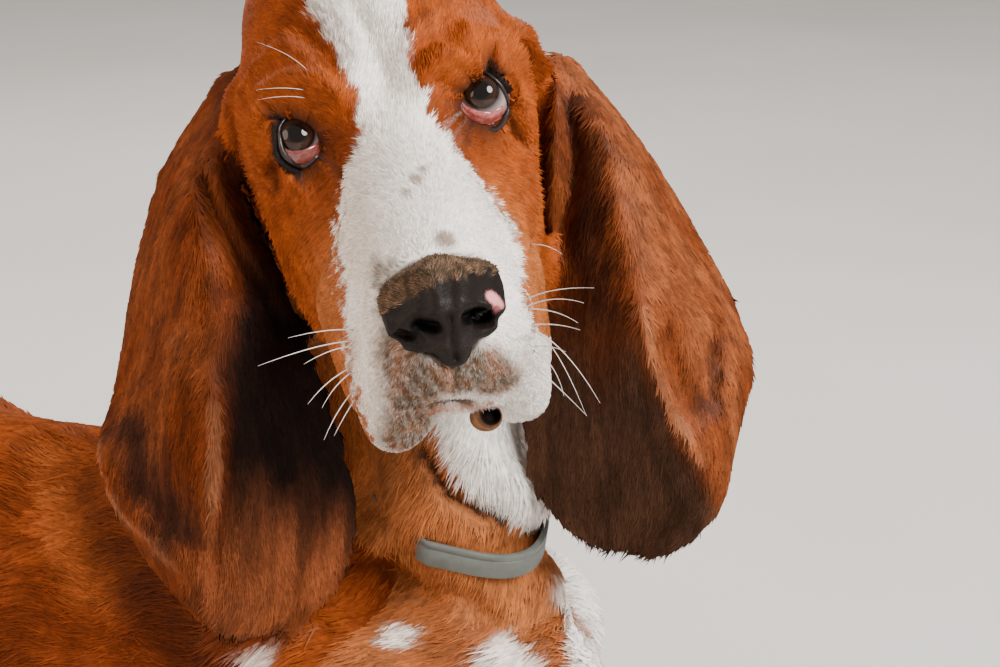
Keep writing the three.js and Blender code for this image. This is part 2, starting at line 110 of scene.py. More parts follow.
def ray(px, py):
    """The direction from the camera through a place in the picture."""
    aim = Vector((px - PICTURE[0] / 2, PICTURE[1] / 2 - py, -focal_px))
    return (look.to_3x3() @ aim).normalized()


eye_point = eye_middle - ray(*EYES_IN_PICTURE) * EYES_AWAY
camera = bpy.data.cameras.new("portrait")
camera.lens = LENS
camera.sensor_width = SENSOR
camera_object = bpy.data.objects.new("portrait", camera)
bpy.context.collection.objects.link(camera_object)
camera_object.matrix_world = Matrix.Translation(eye_point) @ look
bpy.context.scene.camera = camera_object
print("camera at", [round(v, 3) for v in eye_point])

# %% [markdown]
# Shader maths reads better as expressions. The first class here wraps a socket, so that adding or
# multiplying two values adds the node that does it. The second holds one material.

# %% A shader helper


class Value:
    """A socket of a node tree that can be used in sums."""

    def __init__(self, tree, socket):
        self.tree = tree
        self.socket = socket

    def math(self, operation, other=0.0):
        node = self.tree.nodes.new("ShaderNodeMath")
        node.operation = operation
        put(self.tree, node.inputs[0], self)
        put(self.tree, node.inputs[1], other)
        return Value(self.tree, node.outputs[0])

    def __add__(self, other):
        return self.math("ADD", other)

    __radd__ = __add__

    def __mul__(self, other):
        return self.math("MULTIPLY", other)

    __rmul__ = __mul__


def put(tree, socket, value):
    """Link a value to a socket, or set it."""
    if isinstance(value, Value):
        tree.links.new(value.socket, socket)
    elif value is not None:
        socket.default_value = value


class Finish:
    """A material and its Principled shader."""

    def __init__(self, name, **settings):
        self.material = bpy.data.materials.new(name)
        self.material.use_nodes = True
        self.tree = self.material.node_tree
        self.shader = self.tree.nodes["Principled BSDF"]
        for key, value in settings.items():
            self.shader.inputs[key.replace("_", " ")].default_value = value

    def node(self, kind, settings=None, inputs=None, output=0):
        node = self.tree.nodes.new(kind)
        for key, value in (settings or {}).items():
            setattr(node, key, value)
        for key, value in (inputs or {}).items():
            put(self.tree, node.inputs[key], value)
        return Value(self.tree, node.outputs[output])

    def place(self):
        return self.node("ShaderNodeTexCoord", output="Object")

    def noise(self, scale, detail=3.0, rough=0.5):
        return self.node("ShaderNodeTexNoise", None,
                         {"Vector": self.place(), "Scale": scale, "Detail": detail, "Roughness": rough},
                         output="Fac")

    def attribute(self, name):
        return self.node("ShaderNodeAttribute", {"attribute_name": name}, output="Color")

    def mix(self, factor, first, second, blend="MIX"):
        """Sockets 0, 6 and 7 are the factor and the two colours of the node's colour mode."""
        return self.node("ShaderNodeMix", {"data_type": "RGBA", "blend_type": blend},
                         {0: factor, 6: first, 7: second}, output=2)

    def ramp(self, value, stops):
        node = self.tree.nodes.new("ShaderNodeValToRGB")
        put(self.tree, node.inputs[0], value)
        elements = node.color_ramp.elements
        while len(elements) < len(stops):
            elements.new(0.5)
        for element, (at, colour) in zip(elements, stops):
            element.position = at
            element.color = (*colour, 1.0)
        return Value(self.tree, node.outputs[0])

    def bump(self, height, strength, distance):
        put(self.tree, self.shader.inputs["Normal"],
            self.node("ShaderNodeBump", None,
                      {"Height": height, "Strength": strength, "Distance": distance}, output="Normal"))

    def feed(self, name, value):
        put(self.tree, self.shader.inputs[name], value)


def wear(piece, finish):
    piece.data.materials.clear()
    piece.data.materials.append(finish.material)


# %% [markdown]
# Most shapes here are worked on as plain arrays of points, which is how folds can be laid along
# lines over tens of thousands of points at once.

# %% Array helpers


def points_of(mesh):
    out = np.empty(len(mesh.vertices) * 3)
    mesh.vertices.foreach_get("co", out)
    return out.reshape(-1, 3)


def normals_of(mesh):
    out = np.empty(len(mesh.vertices) * 3)
    mesh.vertex_normals.foreach_get("vector", out)
    return out.reshape(-1, 3)


def set_points(mesh, points):
    mesh.vertices.foreach_set("co", np.ascontiguousarray(points, dtype=np.float32).ravel())
    mesh.update()


def triangles_of(mesh):
    mesh.calc_loop_triangles()
    out = np.empty(len(mesh.loop_triangles) * 3, dtype=np.int32)
    mesh.loop_triangles.foreach_get("vertices", out)
    return out.reshape(-1, 3)


def made(name, points, faces):
    """A new smooth-shaded object from points and faces."""
    mesh = bpy.data.meshes.new(name)
    mesh.from_pydata([tuple(p) for p in points], [], [tuple(f) for f in faces])
    mesh.validate()
    mesh.polygons.foreach_set("use_smooth", [True] * len(mesh.polygons))
    mesh.update()
    piece = bpy.data.objects.new(name, mesh)
    bpy.context.collection.objects.link(piece)
    return piece


def only(piece):
    bpy.ops.object.select_all(action="DESELECT")
    piece.select_set(True)
    bpy.context.view_layer.objects.active = piece


def remeshed(piece, voxel, rounds):
    """Join the parts of a piece by a voxel remesh and smooth away the steps that it leaves."""
    only(piece)
    remesh = piece.modifiers.new("remesh", "REMESH")
    remesh.mode = "VOXEL"
    remesh.voxel_size = voxel
    bpy.ops.object.modifier_apply(modifier="remesh")
    smooth = piece.modifiers.new("smooth", "SMOOTH")
    smooth.factor = 0.5
    smooth.iterations = rounds
    bpy.ops.object.modifier_apply(modifier="smooth")


def outward(piece):
    """Make the faces of a piece point outwards."""
    only(piece)
    bpy.ops.object.mode_set(mode="EDIT")
    bpy.ops.mesh.select_all(action="SELECT")
    bpy.ops.mesh.normals_make_consistent(inside=False)
    bpy.ops.object.mode_set(mode="OBJECT")


def paint(mesh, colours):
    """Write a colour for each point, which the materials read under the name coat."""
    attribute = mesh.color_attributes.new("coat", "FLOAT_COLOR", "POINT")
    full = np.hstack([colours, np.ones((len(colours), 1))])
    attribute.data.foreach_set("color", full.astype(np.float32).ravel())


def circle(at, first, second, radius, sides):
    """Points round a place, in the plane of two directions."""
    angles = [2 * math.pi * k / sides for k in range(sides)]
    return [at + first * (radius * math.cos(a)) + second * (radius * math.sin(a)) for a in angles]


def tube_faces(start, rings, sides, closed):
    """Quads between rings of points that follow one another, from the given first point."""
    faces = []
    for i in range(rings if closed else rings - 1):
        j = (i + 1) % rings
        for k in range(sides):
            m = (k + 1) % sides
            quad = (i * sides + k, i * sides + m, j * sides + m, j * sides + k)
            faces.append([start + v for v in quad])
    return faces


def smooth_closed(corners, steps):
    """A smooth closed curve through places on a plane."""
    n = len(corners)
    points = np.array(corners, float)
    out = []
    for s in range(steps):
        i, f = divmod(s / steps * n, 1)
        a, b, c, d = [points[(int(i) + k) % n] for k in (-1, 0, 1, 2)]
        out.append(0.5 * (2 * b + (c - a) * f + (2 * a - 5 * b + 4 * c - d) * f * f
                          + (3 * b - a - 3 * c + d) * f ** 3))
    return np.array(out)


def smooth_step(low, high, value):
    t = np.clip((value - low) / (high - low), 0, 1)
    return t * t * (3 - 2 * t)


def ripple(points, size, seed):
    """Soft noise between -1 and 1 over points in millimetres, with waves of about the given size."""
    draw = np.random.default_rng(seed)
    total = np.zeros(len(points))
    waves = 9
    for _ in range(waves):
        way = draw.normal(size=3)
        way *= 2 * math.pi / (size * draw.uniform(0.6, 1.7)) / np.linalg.norm(way)
        total += np.sin(points @ way + draw.uniform(0, 2 * math.pi))
    return np.clip(total / math.sqrt(waves * 1.2), -1, 1)


def near_line(points, line):
    """Distance of each point to a polyline, and how far along it is, from 0 to 1."""
    line = np.asarray(line, float)
    best = np.full(len(points), 1e9)
    along = np.zeros(len(points))
    for i in range(len(line) - 1):
        step = line[i + 1] - line[i]
        t = np.clip(((points - line[i]) @ step) / (step @ step), 0, 1)
        away = np.linalg.norm(points - line[i] - t[:, None] * step, axis=1)
        closer = away < best
        best[closer] = away[closer]
        along[closer] = (i + t[closer]) / (len(line) - 1)
    return best, along


# %% [markdown]
# One skin covers all the flesh, so that no seam shows where the solids were parted. Copies of the
# solids are swollen until they touch and joined by a voxel remesh. The head is then divided once
# more, because its folds and lids need finer points than the trunk.

# %% The skin, first draft
FLESH = ["head", "neck", "torso", "ear_left", "ear_right", "foreleg_left", "foreleg_right",
         "hindleg_left", "hindleg_right", "forepaw_left", "forepaw_right", "hindpaw_left",
         "hindpaw_right", "tail"]
SWELL = 0.6 * MM
VOXEL = 4.2 * MM
SMOOTH_ROUNDS = 10


def joined_copy(names, swell):
    """Points and faces of the named solids together, with the number of each face's solid in a list."""
    points, faces, labels = [], [], []
    start = 0
    for number, name in enumerate(names):
        bm = bmesh.new()
        bm.from_mesh(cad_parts[name].data)
        bmesh.ops.remove_doubles(bm, verts=bm.verts, dist=1e-6)
        bm.normal_update()
        for v in bm.verts:
            points.append(v.co + v.normal * swell)
        for f in bm.faces:
            faces.append([v.index + start for v in f.verts])
            labels.append(number)
        start += len(bm.verts)
        bm.free()
    return points, faces, labels


solid_points, solid_faces, solid_labels = joined_copy(FLESH, SWELL)
solid_tree = BVHTree.FromPolygons(solid_points, solid_faces)
skin = made("skin", solid_points, solid_faces)
remeshed(skin, VOXEL, SMOOTH_ROUNDS)
print("skin points", len(skin.data.vertices))

# %% [markdown]
# Each skin point remembers which solid it is nearest to, because ears, trunk and feet carry
# different coats. The head's quads are then split, and the eyes' surroundings once again.

# %% Where each point belongs, and finer points on the head
HEAD_NUMBER = FLESH.index("head")
EAR_NUMBERS = (FLESH.index("ear_left"), FLESH.index("ear_right"))
NECK_NUMBER = FLESH.index("neck")
FINE_EYE = 19 * MM


def labels_of(points):
    """The number of the solid nearest to each point."""
    out = np.empty(len(points), dtype=int)
    for i, p in enumerate(points):
        out[i] = solid_labels[solid_tree.find_nearest(Vector(p))[2]]
    return out


def split(piece, wanted):
    """Subdivide the faces whose points are all wanted."""
    only(piece)
    bpy.ops.object.mode_set(mode="EDIT")
    bpy.ops.mesh.select_all(action="DESELECT")
    bpy.ops.object.mode_set(mode="OBJECT")
    mesh = piece.data
    flags = [all(wanted[i] for i in f.vertices) for f in mesh.polygons]
    mesh.polygons.foreach_set("select", flags)
    mesh.update()
    bpy.ops.object.mode_set(mode="EDIT")
    bpy.ops.mesh.select_mode(type="FACE")
    bpy.ops.mesh.subdivide(number_cuts=1, smoothness=0)
    bpy.ops.object.mode_set(mode="OBJECT")


draft = points_of(skin.data)
labels = labels_of(draft)
split(skin, labels == HEAD_NUMBER)
draft = points_of(skin.data)
by_eyes = np.minimum(*[np.linalg.norm(draft - np.array(e), axis=1) for e in eyes.values()])
split(skin, by_eyes < FINE_EYE)
only(skin)
bpy.ops.object.mode_set(mode="EDIT")
bpy.ops.mesh.select_all(action="SELECT")
bpy.ops.mesh.quads_convert_to_tris()
bpy.ops.mesh.vertices_smooth(factor=0.5, repeat=2)
bpy.ops.object.mode_set(mode="OBJECT")
skin_points = points_of(skin.data)
labels = labels_of(skin_points)
print("skin after splitting:", len(skin_points), "points,", len(skin.data.polygons), "triangles")

# %% [markdown]
# A basset's loose skin hangs in folds. Each fold is a line drawn in the picture and dropped onto
# the skin, with how wide it is and how far it stands up or sinks in, in millimetres. An ear is
# thin, so a fold there moves both of its faces together, towards the camera or away from it.

# %% Folds
FOLDS = {
    "cheek_edge_right": ([(256, 67), (245, 107), (249, 152), (265, 196), (280, 234), (297, 281),
                          (320, 331), (339, 381), (347, 425)], 4.0, 4.5),
    "cheek_edge_left": ([(499, 33), (519, 58), (527, 89), (527, 138), (529, 179), (530, 234),
                         (524, 285)], 3.4, 5.0),
    "behind_cheek_right": ([(234, 112), (239, 156), (253, 202), (269, 244), (287, 290), (308, 332)],
                           3.2, -6.5),
    "behind_cheek_left": ([(510, 30), (532, 62), (539, 95), (540, 140), (539, 190), (536, 235)], 3.4, -7.0),
    "second_fold_left": ([(521, 33), (546, 74), (555, 110), (557, 156), (549, 215), (538, 262)], 3.6, 5.0),
    "brow_left": ([(402, 62), (414, 34), (436, 20), (460, 24), (476, 42)], 3.4, 4.0),
    "brow_inner_left": ([(420, 50), (432, 38), (448, 37), (460, 48)], 2.6, -3.6),
    "brow_swirl_left": ([(436, 62), (446, 54), (458, 60)], 4.0, 3.0),
    "brow_hollow_left": ([(436, 84), (448, 92), (452, 106)], 5.0, -3.0),
    "brow_outer_left": ([(462, 60), (486, 58), (508, 74), (519, 100), (520, 132)], 3.4, 4.2),
    "brow_groove_left": ([(458, 74), (474, 66), (494, 70), (509, 86), (514, 112)], 2.0, -2.6),
    "tear_fold_left": ([(508, 118), (514, 132), (523, 144)], 2.0, -3.6),
    "under_eye_left": ([(462, 134), (480, 144), (500, 142)], 3.0, 2.0),
    "inner_corner_left": ([(457, 120), (459, 138), (466, 152)], 2.2, -2.6),
    "brow_right": ([(258, 122), (264, 92), (288, 78), (316, 80), (338, 94)], 4.0, 4.2),
    "brow_groove_right": ([(268, 130), (274, 112), (294, 102), (314, 107), (328, 124)], 2.0, -2.6),
    "brow_upper_right": ([(296, 26), (316, 46), (334, 66)], 4.0, -2.5),
    "brow_rise_right": ([(262, 60), (286, 44), (310, 58)], 6.0, 2.5),
    "tear_fold_right": ([(277, 150), (273, 170), (277, 192)], 2.4, -4.2),
    "tear_lip_right": ([(262, 110), (257, 140), (262, 168), (273, 190)], 3.4, 4.2),
    "under_eye_right": ([(284, 178), (304, 184), (322, 176)], 3.0, 2.0),
    "inner_corner_right": ([(334, 146), (337, 160), (341, 176)], 2.2, -2.2),
    "forehead_furrow": ([(352, 0), (372, 50), (388, 92)], 5.0, -2.6),
    "lip_front": ([(428, 416), (438, 407), (470, 409), (492, 404), (502, 400)], 2.6, 2.4),
    "lip_part": ([(455, 368), (456, 382), (460, 394)], 1.8, -2.6),
    "muzzle_pad_right": ([(372, 310), (376, 350), (388, 400), (396, 440)], 9.0, 3.5),
    "muzzle_pad_left": ([(516, 290), (524, 340), (528, 400)], 8.0, 3.5),
    "flews_crease_right": ([(358, 290), (354, 350), (360, 400)], 3.4, -2.6),
    "chin_hollow": ([(436, 392), (444, 376), (448, 360)], 6.0, -1.5),
    "dewlap_crease": ([(424, 446), (436, 474), (454, 496), (478, 507), (502, 518)], 3.2, -7.0),
    "dewlap_roll_right": ([(388, 462), (398, 500), (424, 534)], 10.0, 5.0),
    "dewlap_roll_left": ([(470, 440), (500, 475), (530, 512)], 11.0, 5.0),
    "dewlap_edge_left": ([(518, 452), (527, 488), (533, 516)], 13.0, 7.5),
    "bib_edge_left": ([(538, 560), (548, 590), (562, 630)], 15.0, 8.0),
    "loose_skin_on_collar": ([(362, 496), (372, 514), (386, 530), (400, 543)], 8.0, 11.0),
    "ear_flap_right": ([(214, 150), (217, 182), (233, 220), (260, 271), (295, 309), (314, 323)], 3.2, 6.5),
    "ear_flap_groove_right": ([(205, 160), (208, 190), (222, 230), (246, 280), (282, 322)], 4.0, -6.0),
    "ear_flap_shade_right": ([(240, 150), (256, 200), (276, 246), (300, 296)], 3.5, -5.0),
    "ear_fold_right": ([(208, 372), (216, 420), (211, 482), (209, 533), (203, 605)], 4.2, 8.5),
    "ear_fold_step_right": ([(226, 420), (224, 482), (222, 540), (218, 600)], 5.0, -4.0),
    "ear_valley_right": ([(138, 420), (149, 482), (180, 528)], 10.0, -9.0),
    "ear_rear_edge_right": ([(104, 440), (102, 466), (116, 500), (152, 532), (194, 574)], 4.5, 5.0),
    "ear_ridge_one_right": ([(190, 180), (194, 220), (208, 292), (198, 361)], 4.5, 4.0),
    "ear_ridge_two_right": ([(158, 190), (164, 250), (170, 330), (186, 390)], 4.5, 3.5),
    "ear_groove_right": ([(168, 200), (162, 270), (166, 340)], 7.0, -3.0),
    "ear_shadow_right": ([(240, 160), (254, 230), (268, 300), (282, 380), (290, 460)], 15.0, -9.0),
    "ear_flap_left": ([(553, 80), (561, 130), (560, 180), (547, 226), (538, 250)], 3.0, 5.5),
    "ear_flap_shade_left": ([(568, 96), (574, 145), (572, 190), (560, 240)], 4.0, -5.5),
    "ear_fold_left": ([(598, 110), (620, 200), (641, 300), (649, 355), (666, 401), (698, 454)], 4.0, 8.0),
    "ear_valley_left": ([(664, 320), (676, 372), (700, 420)], 8.0, -8.0),
    "ear_dimple_left": ([(716, 338), (712, 372), (708, 401)], 5.0, -8.0),
    "ear_edge_left": ([(640, 150), (676, 212), (706, 272), (736, 334)], 5.0, 3.0),
    "ear_rear_left": ([(700, 300), (732, 350), (730, 390)], 6.0, 4.0),
    "ear_groove_left": ([(576, 130), (590, 190), (600, 260)], 8.0, -5.0),
    "ear_ridge_left": ([(596, 112), (640, 170), (676, 240)], 6.0, 4.0),
    "back_dip": ([(-140, 395), (-60, 400), (-10, 404)], 40.0, -22.0),
    "back_roll_one": ([(0, 470), (22, 446), (50, 434), (84, 440)], 9.0, 5.0),
    "back_roll_two": ([(10, 520), (40, 480), (82, 470)], 8.0, -5.0),
    "shoulder_swell": ([(40, 560), (80, 600), (120, 650)], 22.0, 8.0),
    "back_crease": ([(100, 520), (130, 560), (180, 610), (230, 650)], 8.0, -5.0),
    "chest_crease": ([(350, 600), (410, 585), (470, 600), (520, 640)], 7.0, -4.5),
    "chest_roll": ([(400, 610), (470, 625), (530, 655)], 12.0, 5.0),
}


def tree_of(points, triangles):
    return BVHTree.FromPolygons([tuple(p) for p in points], [tuple(t) for t in triangles])


def dropped(tree, places):
    """Places in the picture dropped onto a surface, in metres, with those that miss left out."""
    hits = [tree.ray_cast(eye_point, ray(*p))[0] for p in places]
    return np.array([tuple(h) for h in hits if h is not None])


def seen_from_camera(points):
    """Points flattened along the line of sight, at the distance of the eyes."""
    local = (np.asarray(points) - np.array(eye_point)) @ np.array(look.to_3x3())
    flat = -local[:, :2] / local[:, 2:] * EYES_AWAY
    return np.hstack([flat, np.zeros((len(flat), 1))])


def picture_place(points):
    """Where points show in the picture, across and down."""
    flat = seen_from_camera(points) * focal_px / EYES_AWAY
    return PICTURE[0] / 2 + flat[:, 0], PICTURE[1] / 2 - flat[:, 1]


skin_tree = tree_of(skin_points, triangles_of(skin.data))
skin_normals = normals_of(skin.data)
raised = np.zeros(len(skin_points))
pulled = np.zeros(len(skin_points))
FOLD_JUMP = 32 * MM


def longest_run(line):
    """The longest stretch of a dropped line without a jump to another surface."""
    breaks = np.flatnonzero(np.linalg.norm(np.diff(line, axis=0), axis=1) > FOLD_JUMP) + 1
    return max(np.split(line, breaks), key=len)


def hill(away, width):
    """One on a line and less with the distance from it, for a width in millimetres."""
    return np.exp(-((away / (width * MM)) ** 2))


for name, (places, width, height) in FOLDS.items():
    line = longest_run(dropped(skin_tree, places))
    if len(line) < 2:
        print("fold", name, "leaves the surface and is left out")
        continue
    away, along = near_line(skin_points, line)
    ends = smooth_step(-0.05, 0.16, along) * (1 - smooth_step(0.84, 1.05, along))
    amount = height * MM * (0.35 + 0.65 * ends)
    if name.startswith("ear"):
        away = near_line(seen_from_camera(skin_points), seen_from_camera(line))[0]
        number = EAR_NUMBERS[0] if name.endswith("left") else EAR_NUMBERS[1]
        pulled += amount * hill(away, width) * (labels == number)
    else:
        raised += amount * hill(away, width)
print(len(FOLDS), "folds traced")

# %% [markdown]
# The feet have four toes each. A line is dropped from above onto the foot along each knuckle, which
# is raised, and between the toes, where a groove is pressed in. Then all folds are laid at once.

# %% Toes, and laying the folds
TOE_STEPS = (-1.5, -0.5, 0.5, 1.5)
TOE_SPACING = 19.4
PAWS = {"forepaw": (96, -372), "hindpaw": (128, 88)}
TOE_BACK = 14
TOE_FRONT = 60
TOE_SAMPLE = 5
ABOVE_FEET = 120
GROOVES = (-1, 0, 1)
GROOVE = (4.2, -6.0)
KNUCKLE = (6.0, 2.6)


def toe_line(x, y):
    """A line along a toe, on the upper face of the foot."""
    steps = range(TOE_BACK, TOE_FRONT, TOE_SAMPLE)
    places = [Vector((x, y - step, ABOVE_FEET)) * MM + shift for step in steps]
    hits = [skin_tree.ray_cast(at, Vector((0, 0, -1)))[0] for at in places]
    return np.array([tuple(h) for h in hits if h is not None])


for x, y in PAWS.values():
    for sign in (1, -1):
        for steps, (wide, height) in ((GROOVES, GROOVE), (TOE_STEPS, KNUCKLE)):
            for k in steps:
                line = toe_line(sign * (x + k * TOE_SPACING), y)
                if len(line) > 1:
                    raised += height * MM * hill(near_line(skin_points, line)[0], wide)
towards_camera = np.array(eye_point) - skin_points
towards_camera /= np.linalg.norm(towards_camera, axis=1)[:, None]
skin_points += skin_normals * raised[:, None] + towards_camera * pulled[:, None]
set_points(skin.data, skin_points)
print("folds laid, highest", round(raised.max() / MM, 1), "mm, deepest", round(raised.min() / MM, 1), "mm")

# %% [markdown]
# The coat needs room under the solids' surface, so the skin is drawn in by about half the depth of
# the fur: little on the face and ears, more on the neck and trunk.

# %% Room for the coat
DEPTH = {"head": 1.2, "ear_left": 1.0, "ear_right": 1.0, "forepaw_left": 1.2, "forepaw_right": 1.2,
         "hindpaw_left": 1.2, "hindpaw_right": 1.2, "neck": 2.4, "torso": 3.0, "tail": 2.4}
USUAL_DEPTH = 2.2
depth = np.array([DEPTH.get(name, USUAL_DEPTH) for name in FLESH])[labels]
pairs = np.array([tuple(e.vertices) for e in skin.data.edges])
DEPTH_ROUNDS = 12


def evened(values, times):
    """Values averaged over neighbouring points."""
    out = values.astype(float)
    for _ in range(times):
        total = out.copy()
        count = np.ones(len(out))
        np.add.at(total, pairs[:, 0], out[pairs[:, 1]])
        np.add.at(total, pairs[:, 1], out[pairs[:, 0]])
        np.add.at(count, pairs[:, 0], 1)
        np.add.at(count, pairs[:, 1], 1)
        out = total / count
    return out


depth = evened(depth, DEPTH_ROUNDS)
skin_normals = normals_of(skin.data)
skin_points = skin_points - skin_normals * (depth * MM)[:, None]

# %% [markdown]
# The lids are the most looked-at part of a face. The opening of each eye is an outline in the
# picture; seen from the ball's centre it becomes a closed curve of directions. Skin inside the
# curve is drawn behind the ball, and skin just outside lies on the ball as a thick lid.

# %% Lids
OPENINGS = {
    "left": [(459, 92), (463, 77), (480, 71), (498, 82), (508, 100), (506, 116), (498, 128),
             (485, 129), (470, 121), (461, 108)],
    "right": [(280, 140), (280, 126), (292, 114), (308, 116), (320, 130), (326, 146), (316, 157),
              (303, 166), (291, 161), (283, 152)],
}
LID_ON_BALL = 1.3 * MM
LID_REACH = 8 * MM
BEHIND_BALL = 3.0 * MM
NEAR_EYE = 14 * MM
LID_SWELL = 1.2 * MM
LID_SWELL_OVER = 2.5 * MM
LOWER_LID_SWELL = 1.6 * MM
DROP_OVER = 1.2 * MM


def ball_hit(centre, radius, direction):
    """Where the ray from the camera meets a sphere, or its nearest point if it misses."""
    to_centre = centre - eye_point
    along = to_centre.dot(direction)
    miss = (to_centre - direction * along).length
    back_step = math.sqrt(max(radius * radius - miss * miss, 0))
    at = eye_point + direction * (along - back_step)
    return centre + (at - centre).normalized() * radius


def eye_axes(centre):
    """Directions across, up and out of an eye, out being towards the camera."""
    out = (eye_point - centre).normalized()
    across = Vector((0, 0, 1)).cross(out).normalized()
    return across, out.cross(across), out


def on_plane(centre, points):
    """Places on a plane in front of an eye, how far in front the points lie, and how far away."""
    across, up, out = [np.array(v) for v in eye_axes(centre)]
    way = points - np.array(centre)
    length = np.linalg.norm(way, axis=1)
    way = way / np.maximum(length, 1e-9)[:, None]
    ahead = way @ out
    safe = np.maximum(ahead, 0.15)
    return np.stack([way @ across / safe, way @ up / safe], 1), ahead, length


def outline_of(side, steps=64):
    """The opening's outline as a smooth closed curve on the plane in front of the eye."""
    centre = eyes[side]
    corners = np.array([tuple(ball_hit(centre, EYE_RADIUS, ray(*p))) for p in OPENINGS[side]])
    flat = on_plane(centre, corners)[0]
    return smooth_closed(flat, steps)


def signed_distance(flat, outline):
    """Distance to a closed outline, negative inside."""
    away = near_line(flat, np.vstack([outline, outline[:1]]))[0]
    x = flat[:, 0]
    y = flat[:, 1]
    inside = np.zeros(len(flat), dtype=bool)
    previous = outline[-1]
    for point in outline:
        crosses = (point[1] > y) != (previous[1] > y)
        slope = (previous[0] - point[0]) * (y - point[1]) / (previous[1] - point[1] + 1e-12) + point[0]
        inside ^= crosses & (x < slope)
        previous = point
    return np.where(inside, -away, away)


lid_away = np.full(len(skin_points), 1.0)
for side, centre in eyes.items():
    flat, ahead, length = on_plane(centre, skin_points)
    near = (ahead > 0.2) & (length < EYE_RADIUS + NEAR_EYE)
    away = np.full(len(skin_points), 1.0)
    away[near] = signed_distance(flat[near], outline_of(side)) * EYE_RADIUS
    inside = near & (away < 0)
    on_lid = near & (away >= 0) & (away < LID_REACH)
    lower = smooth_step(-0.1, -0.8, flat[:, 1]) * (ahead > 0.15)
    swell = LID_SWELL * smooth_step(0, LID_SWELL_OVER, away) + LOWER_LID_SWELL * lower
    lid_radius = EYE_RADIUS + LID_ON_BALL + swell
    blend = smooth_step(0.2 * LID_REACH, LID_REACH, away)
    radius = length.copy()
    floor_radius = np.maximum(length, lid_radius)
    radius[on_lid] = (lid_radius * (1 - blend) + floor_radius * blend)[on_lid]
    radius[inside] = EYE_RADIUS - BEHIND_BALL * smooth_step(0, DROP_OVER, -away[inside])
    scale = radius / np.maximum(length, 1e-9)
    skin_points = np.array(centre) + (skin_points - np.array(centre)) * scale[:, None]
    lid_away = np.minimum(lid_away, np.where(near, away, 1.0))
set_points(skin.data, skin_points)
print("points inside the eyes' openings:", int((lid_away < 0).sum()))

# %% [markdown]
# The markings are worked out once, as functions of place, and used by skin and fur alike. The coat
# is red-brown, with a white blaze that widens over the muzzle, a white throat stripe, bib, belly,
# feet and tail tip, darker ears, and grey-brown ticks under the nose. Part of the light and shade
# that the picture shows on ears and flank is in the colours too. Lines are given in the picture,
# widths in millimetres. A pair of numbers says where a colour begins and where it is full.

# %% Coat colours, and the lines that part them
RED = np.array([0.33, 0.066, 0.009])
DEEP_RED = np.array([0.13, 0.022, 0.003])
TAN = np.array([0.47, 0.150, 0.045])
EAR_SHADE = np.array([0.014, 0.005, 0.003])
EAR_MID = np.array([0.145, 0.027, 0.004])
EAR_LIGHT = np.array([0.24, 0.068, 0.022])
EAR_LOBE = np.array([0.250, 0.070, 0.024])
EAR_BROWN = np.array([0.078, 0.034, 0.018])
# A painted highlight for the ears' rims and edges.
EAR_RIM_HIGHLIGHT = np.array([0.46, 0.17, 0.075])
LIT_RED = np.array([0.52, 0.135, 0.028])
WHITE = np.array([0.97, 0.90, 0.835])
# White in painted warm shade, for the side turned from the main light.
WHITE_IN_WARM_SHADE = np.array([0.86, 0.70, 0.59])
GREY_BROWN = np.array([0.120, 0.078, 0.045])
CREASE_SHADE = np.array([0.030, 0.011, 0.005])
SPOT_BROWN = np.array([0.20, 0.10, 0.055])
LID_BLACK = np.array([0.012, 0.008, 0.007])
LIP_PINK = np.array([0.50, 0.24, 0.16])
LID_DARK = (2.8, 6.4)

BLAZE_LEFT = [(0, 300), (30, 322), (63, 344), (97, 355), (136, 361), (179, 344), (233, 338),
              (291, 344), (350, 349), (400, 358), (443, 374)]
BLAZE_RIGHT = [(0, 407), (31, 401), (75, 411), (104, 425), (138, 447), (165, 466), (203, 494),
               (225, 510), (254, 517), (291, 522), (330, 533), (345, 570)]
BLAZE_BEHIND = 20
DEWLAP_LEFT = [(400, 430), (430, 437), (465, 455), (505, 482), (520, 520), (530, 560)]
BIB_LEFT = [(520, 562), (550, 549), (590, 560), (629, 570), (700, 566)]
CHEST_SPOTS = [((408, 632), 6), ((516, 662), 15), ((266, 655), 10)]
MUZZLE_SPOTS = [((424, 172), 2.2), ((417, 182), 2.6), ((408, 195), 2.0), ((445, 241), 4.5)]
SKULL_DARK = [(300, 16), (326, 34), (338, 62)]
RIGHT_EAR_CREST = [(150, 214), (250, 236), (330, 228), (400, 214), (480, 211), (600, 203)]
LEFT_EAR_CREST = [(200, 560), (300, 612), (340, 640), (400, 662), (440, 688), (500, 724)]
RIGHT_EAR_RIM = [(212, 400), (213, 440), (211, 490), (208, 540), (203, 605)]
RIGHT_EAR_REAR = [(104, 436), (101, 466), (114, 500), (150, 534), (192, 574)]
UNDER_EAR = [(98, 490), (122, 552), (172, 606), (214, 667)]
LIT_FLANK = [(58, 470), (72, 520), (96, 580)]
LEFT_EAR_RIM = [(643, 305), (651, 355), (668, 401), (700, 454)]
RIGHT_EAR_VALLEY = [(134, 425), (149, 482), (182, 528)]
LEFT_EAR_VALLEY = [(717, 338), (713, 370), (709, 401)]
LEFT_EAR_GROOVE = [(574, 104), (588, 150), (594, 250), (600, 300)]
LIP_LINE = [(430, 414), (439, 408), (458, 406), (479, 407), (491, 402)]
MOUTH_LINE = [(441, 401), (455, 399), (470, 403)]
DEWLAP_CREASE = [(424, 446), (436, 474), (454, 496), (478, 507), (500, 515)]
UNDER_NOSE = [(404, 356), (414, 384), (414, 410), (408, 438)]
UNDER_NOSE_LEFT = [(430, 376), (456, 378), (484, 366), (500, 384)]
TEAR_FOLD_SHADE_LINES = [[(461, 118), (462, 130), (466, 144)], [(333, 145), (338, 158), (341, 176)],
              [(275, 146), (274, 168), (277, 190)], [(508, 112), (514, 128), (522, 142)]]
RIGHT_SHADE_DOWN = (200, 330)
RIGHT_LOBE_DOWN = (440, 585)
LEFT_LOBE_DOWN = (265, 400)
SHOULDER_DOWN = (500, 600)
NOSE_FUR_DOWN = (252, 268)
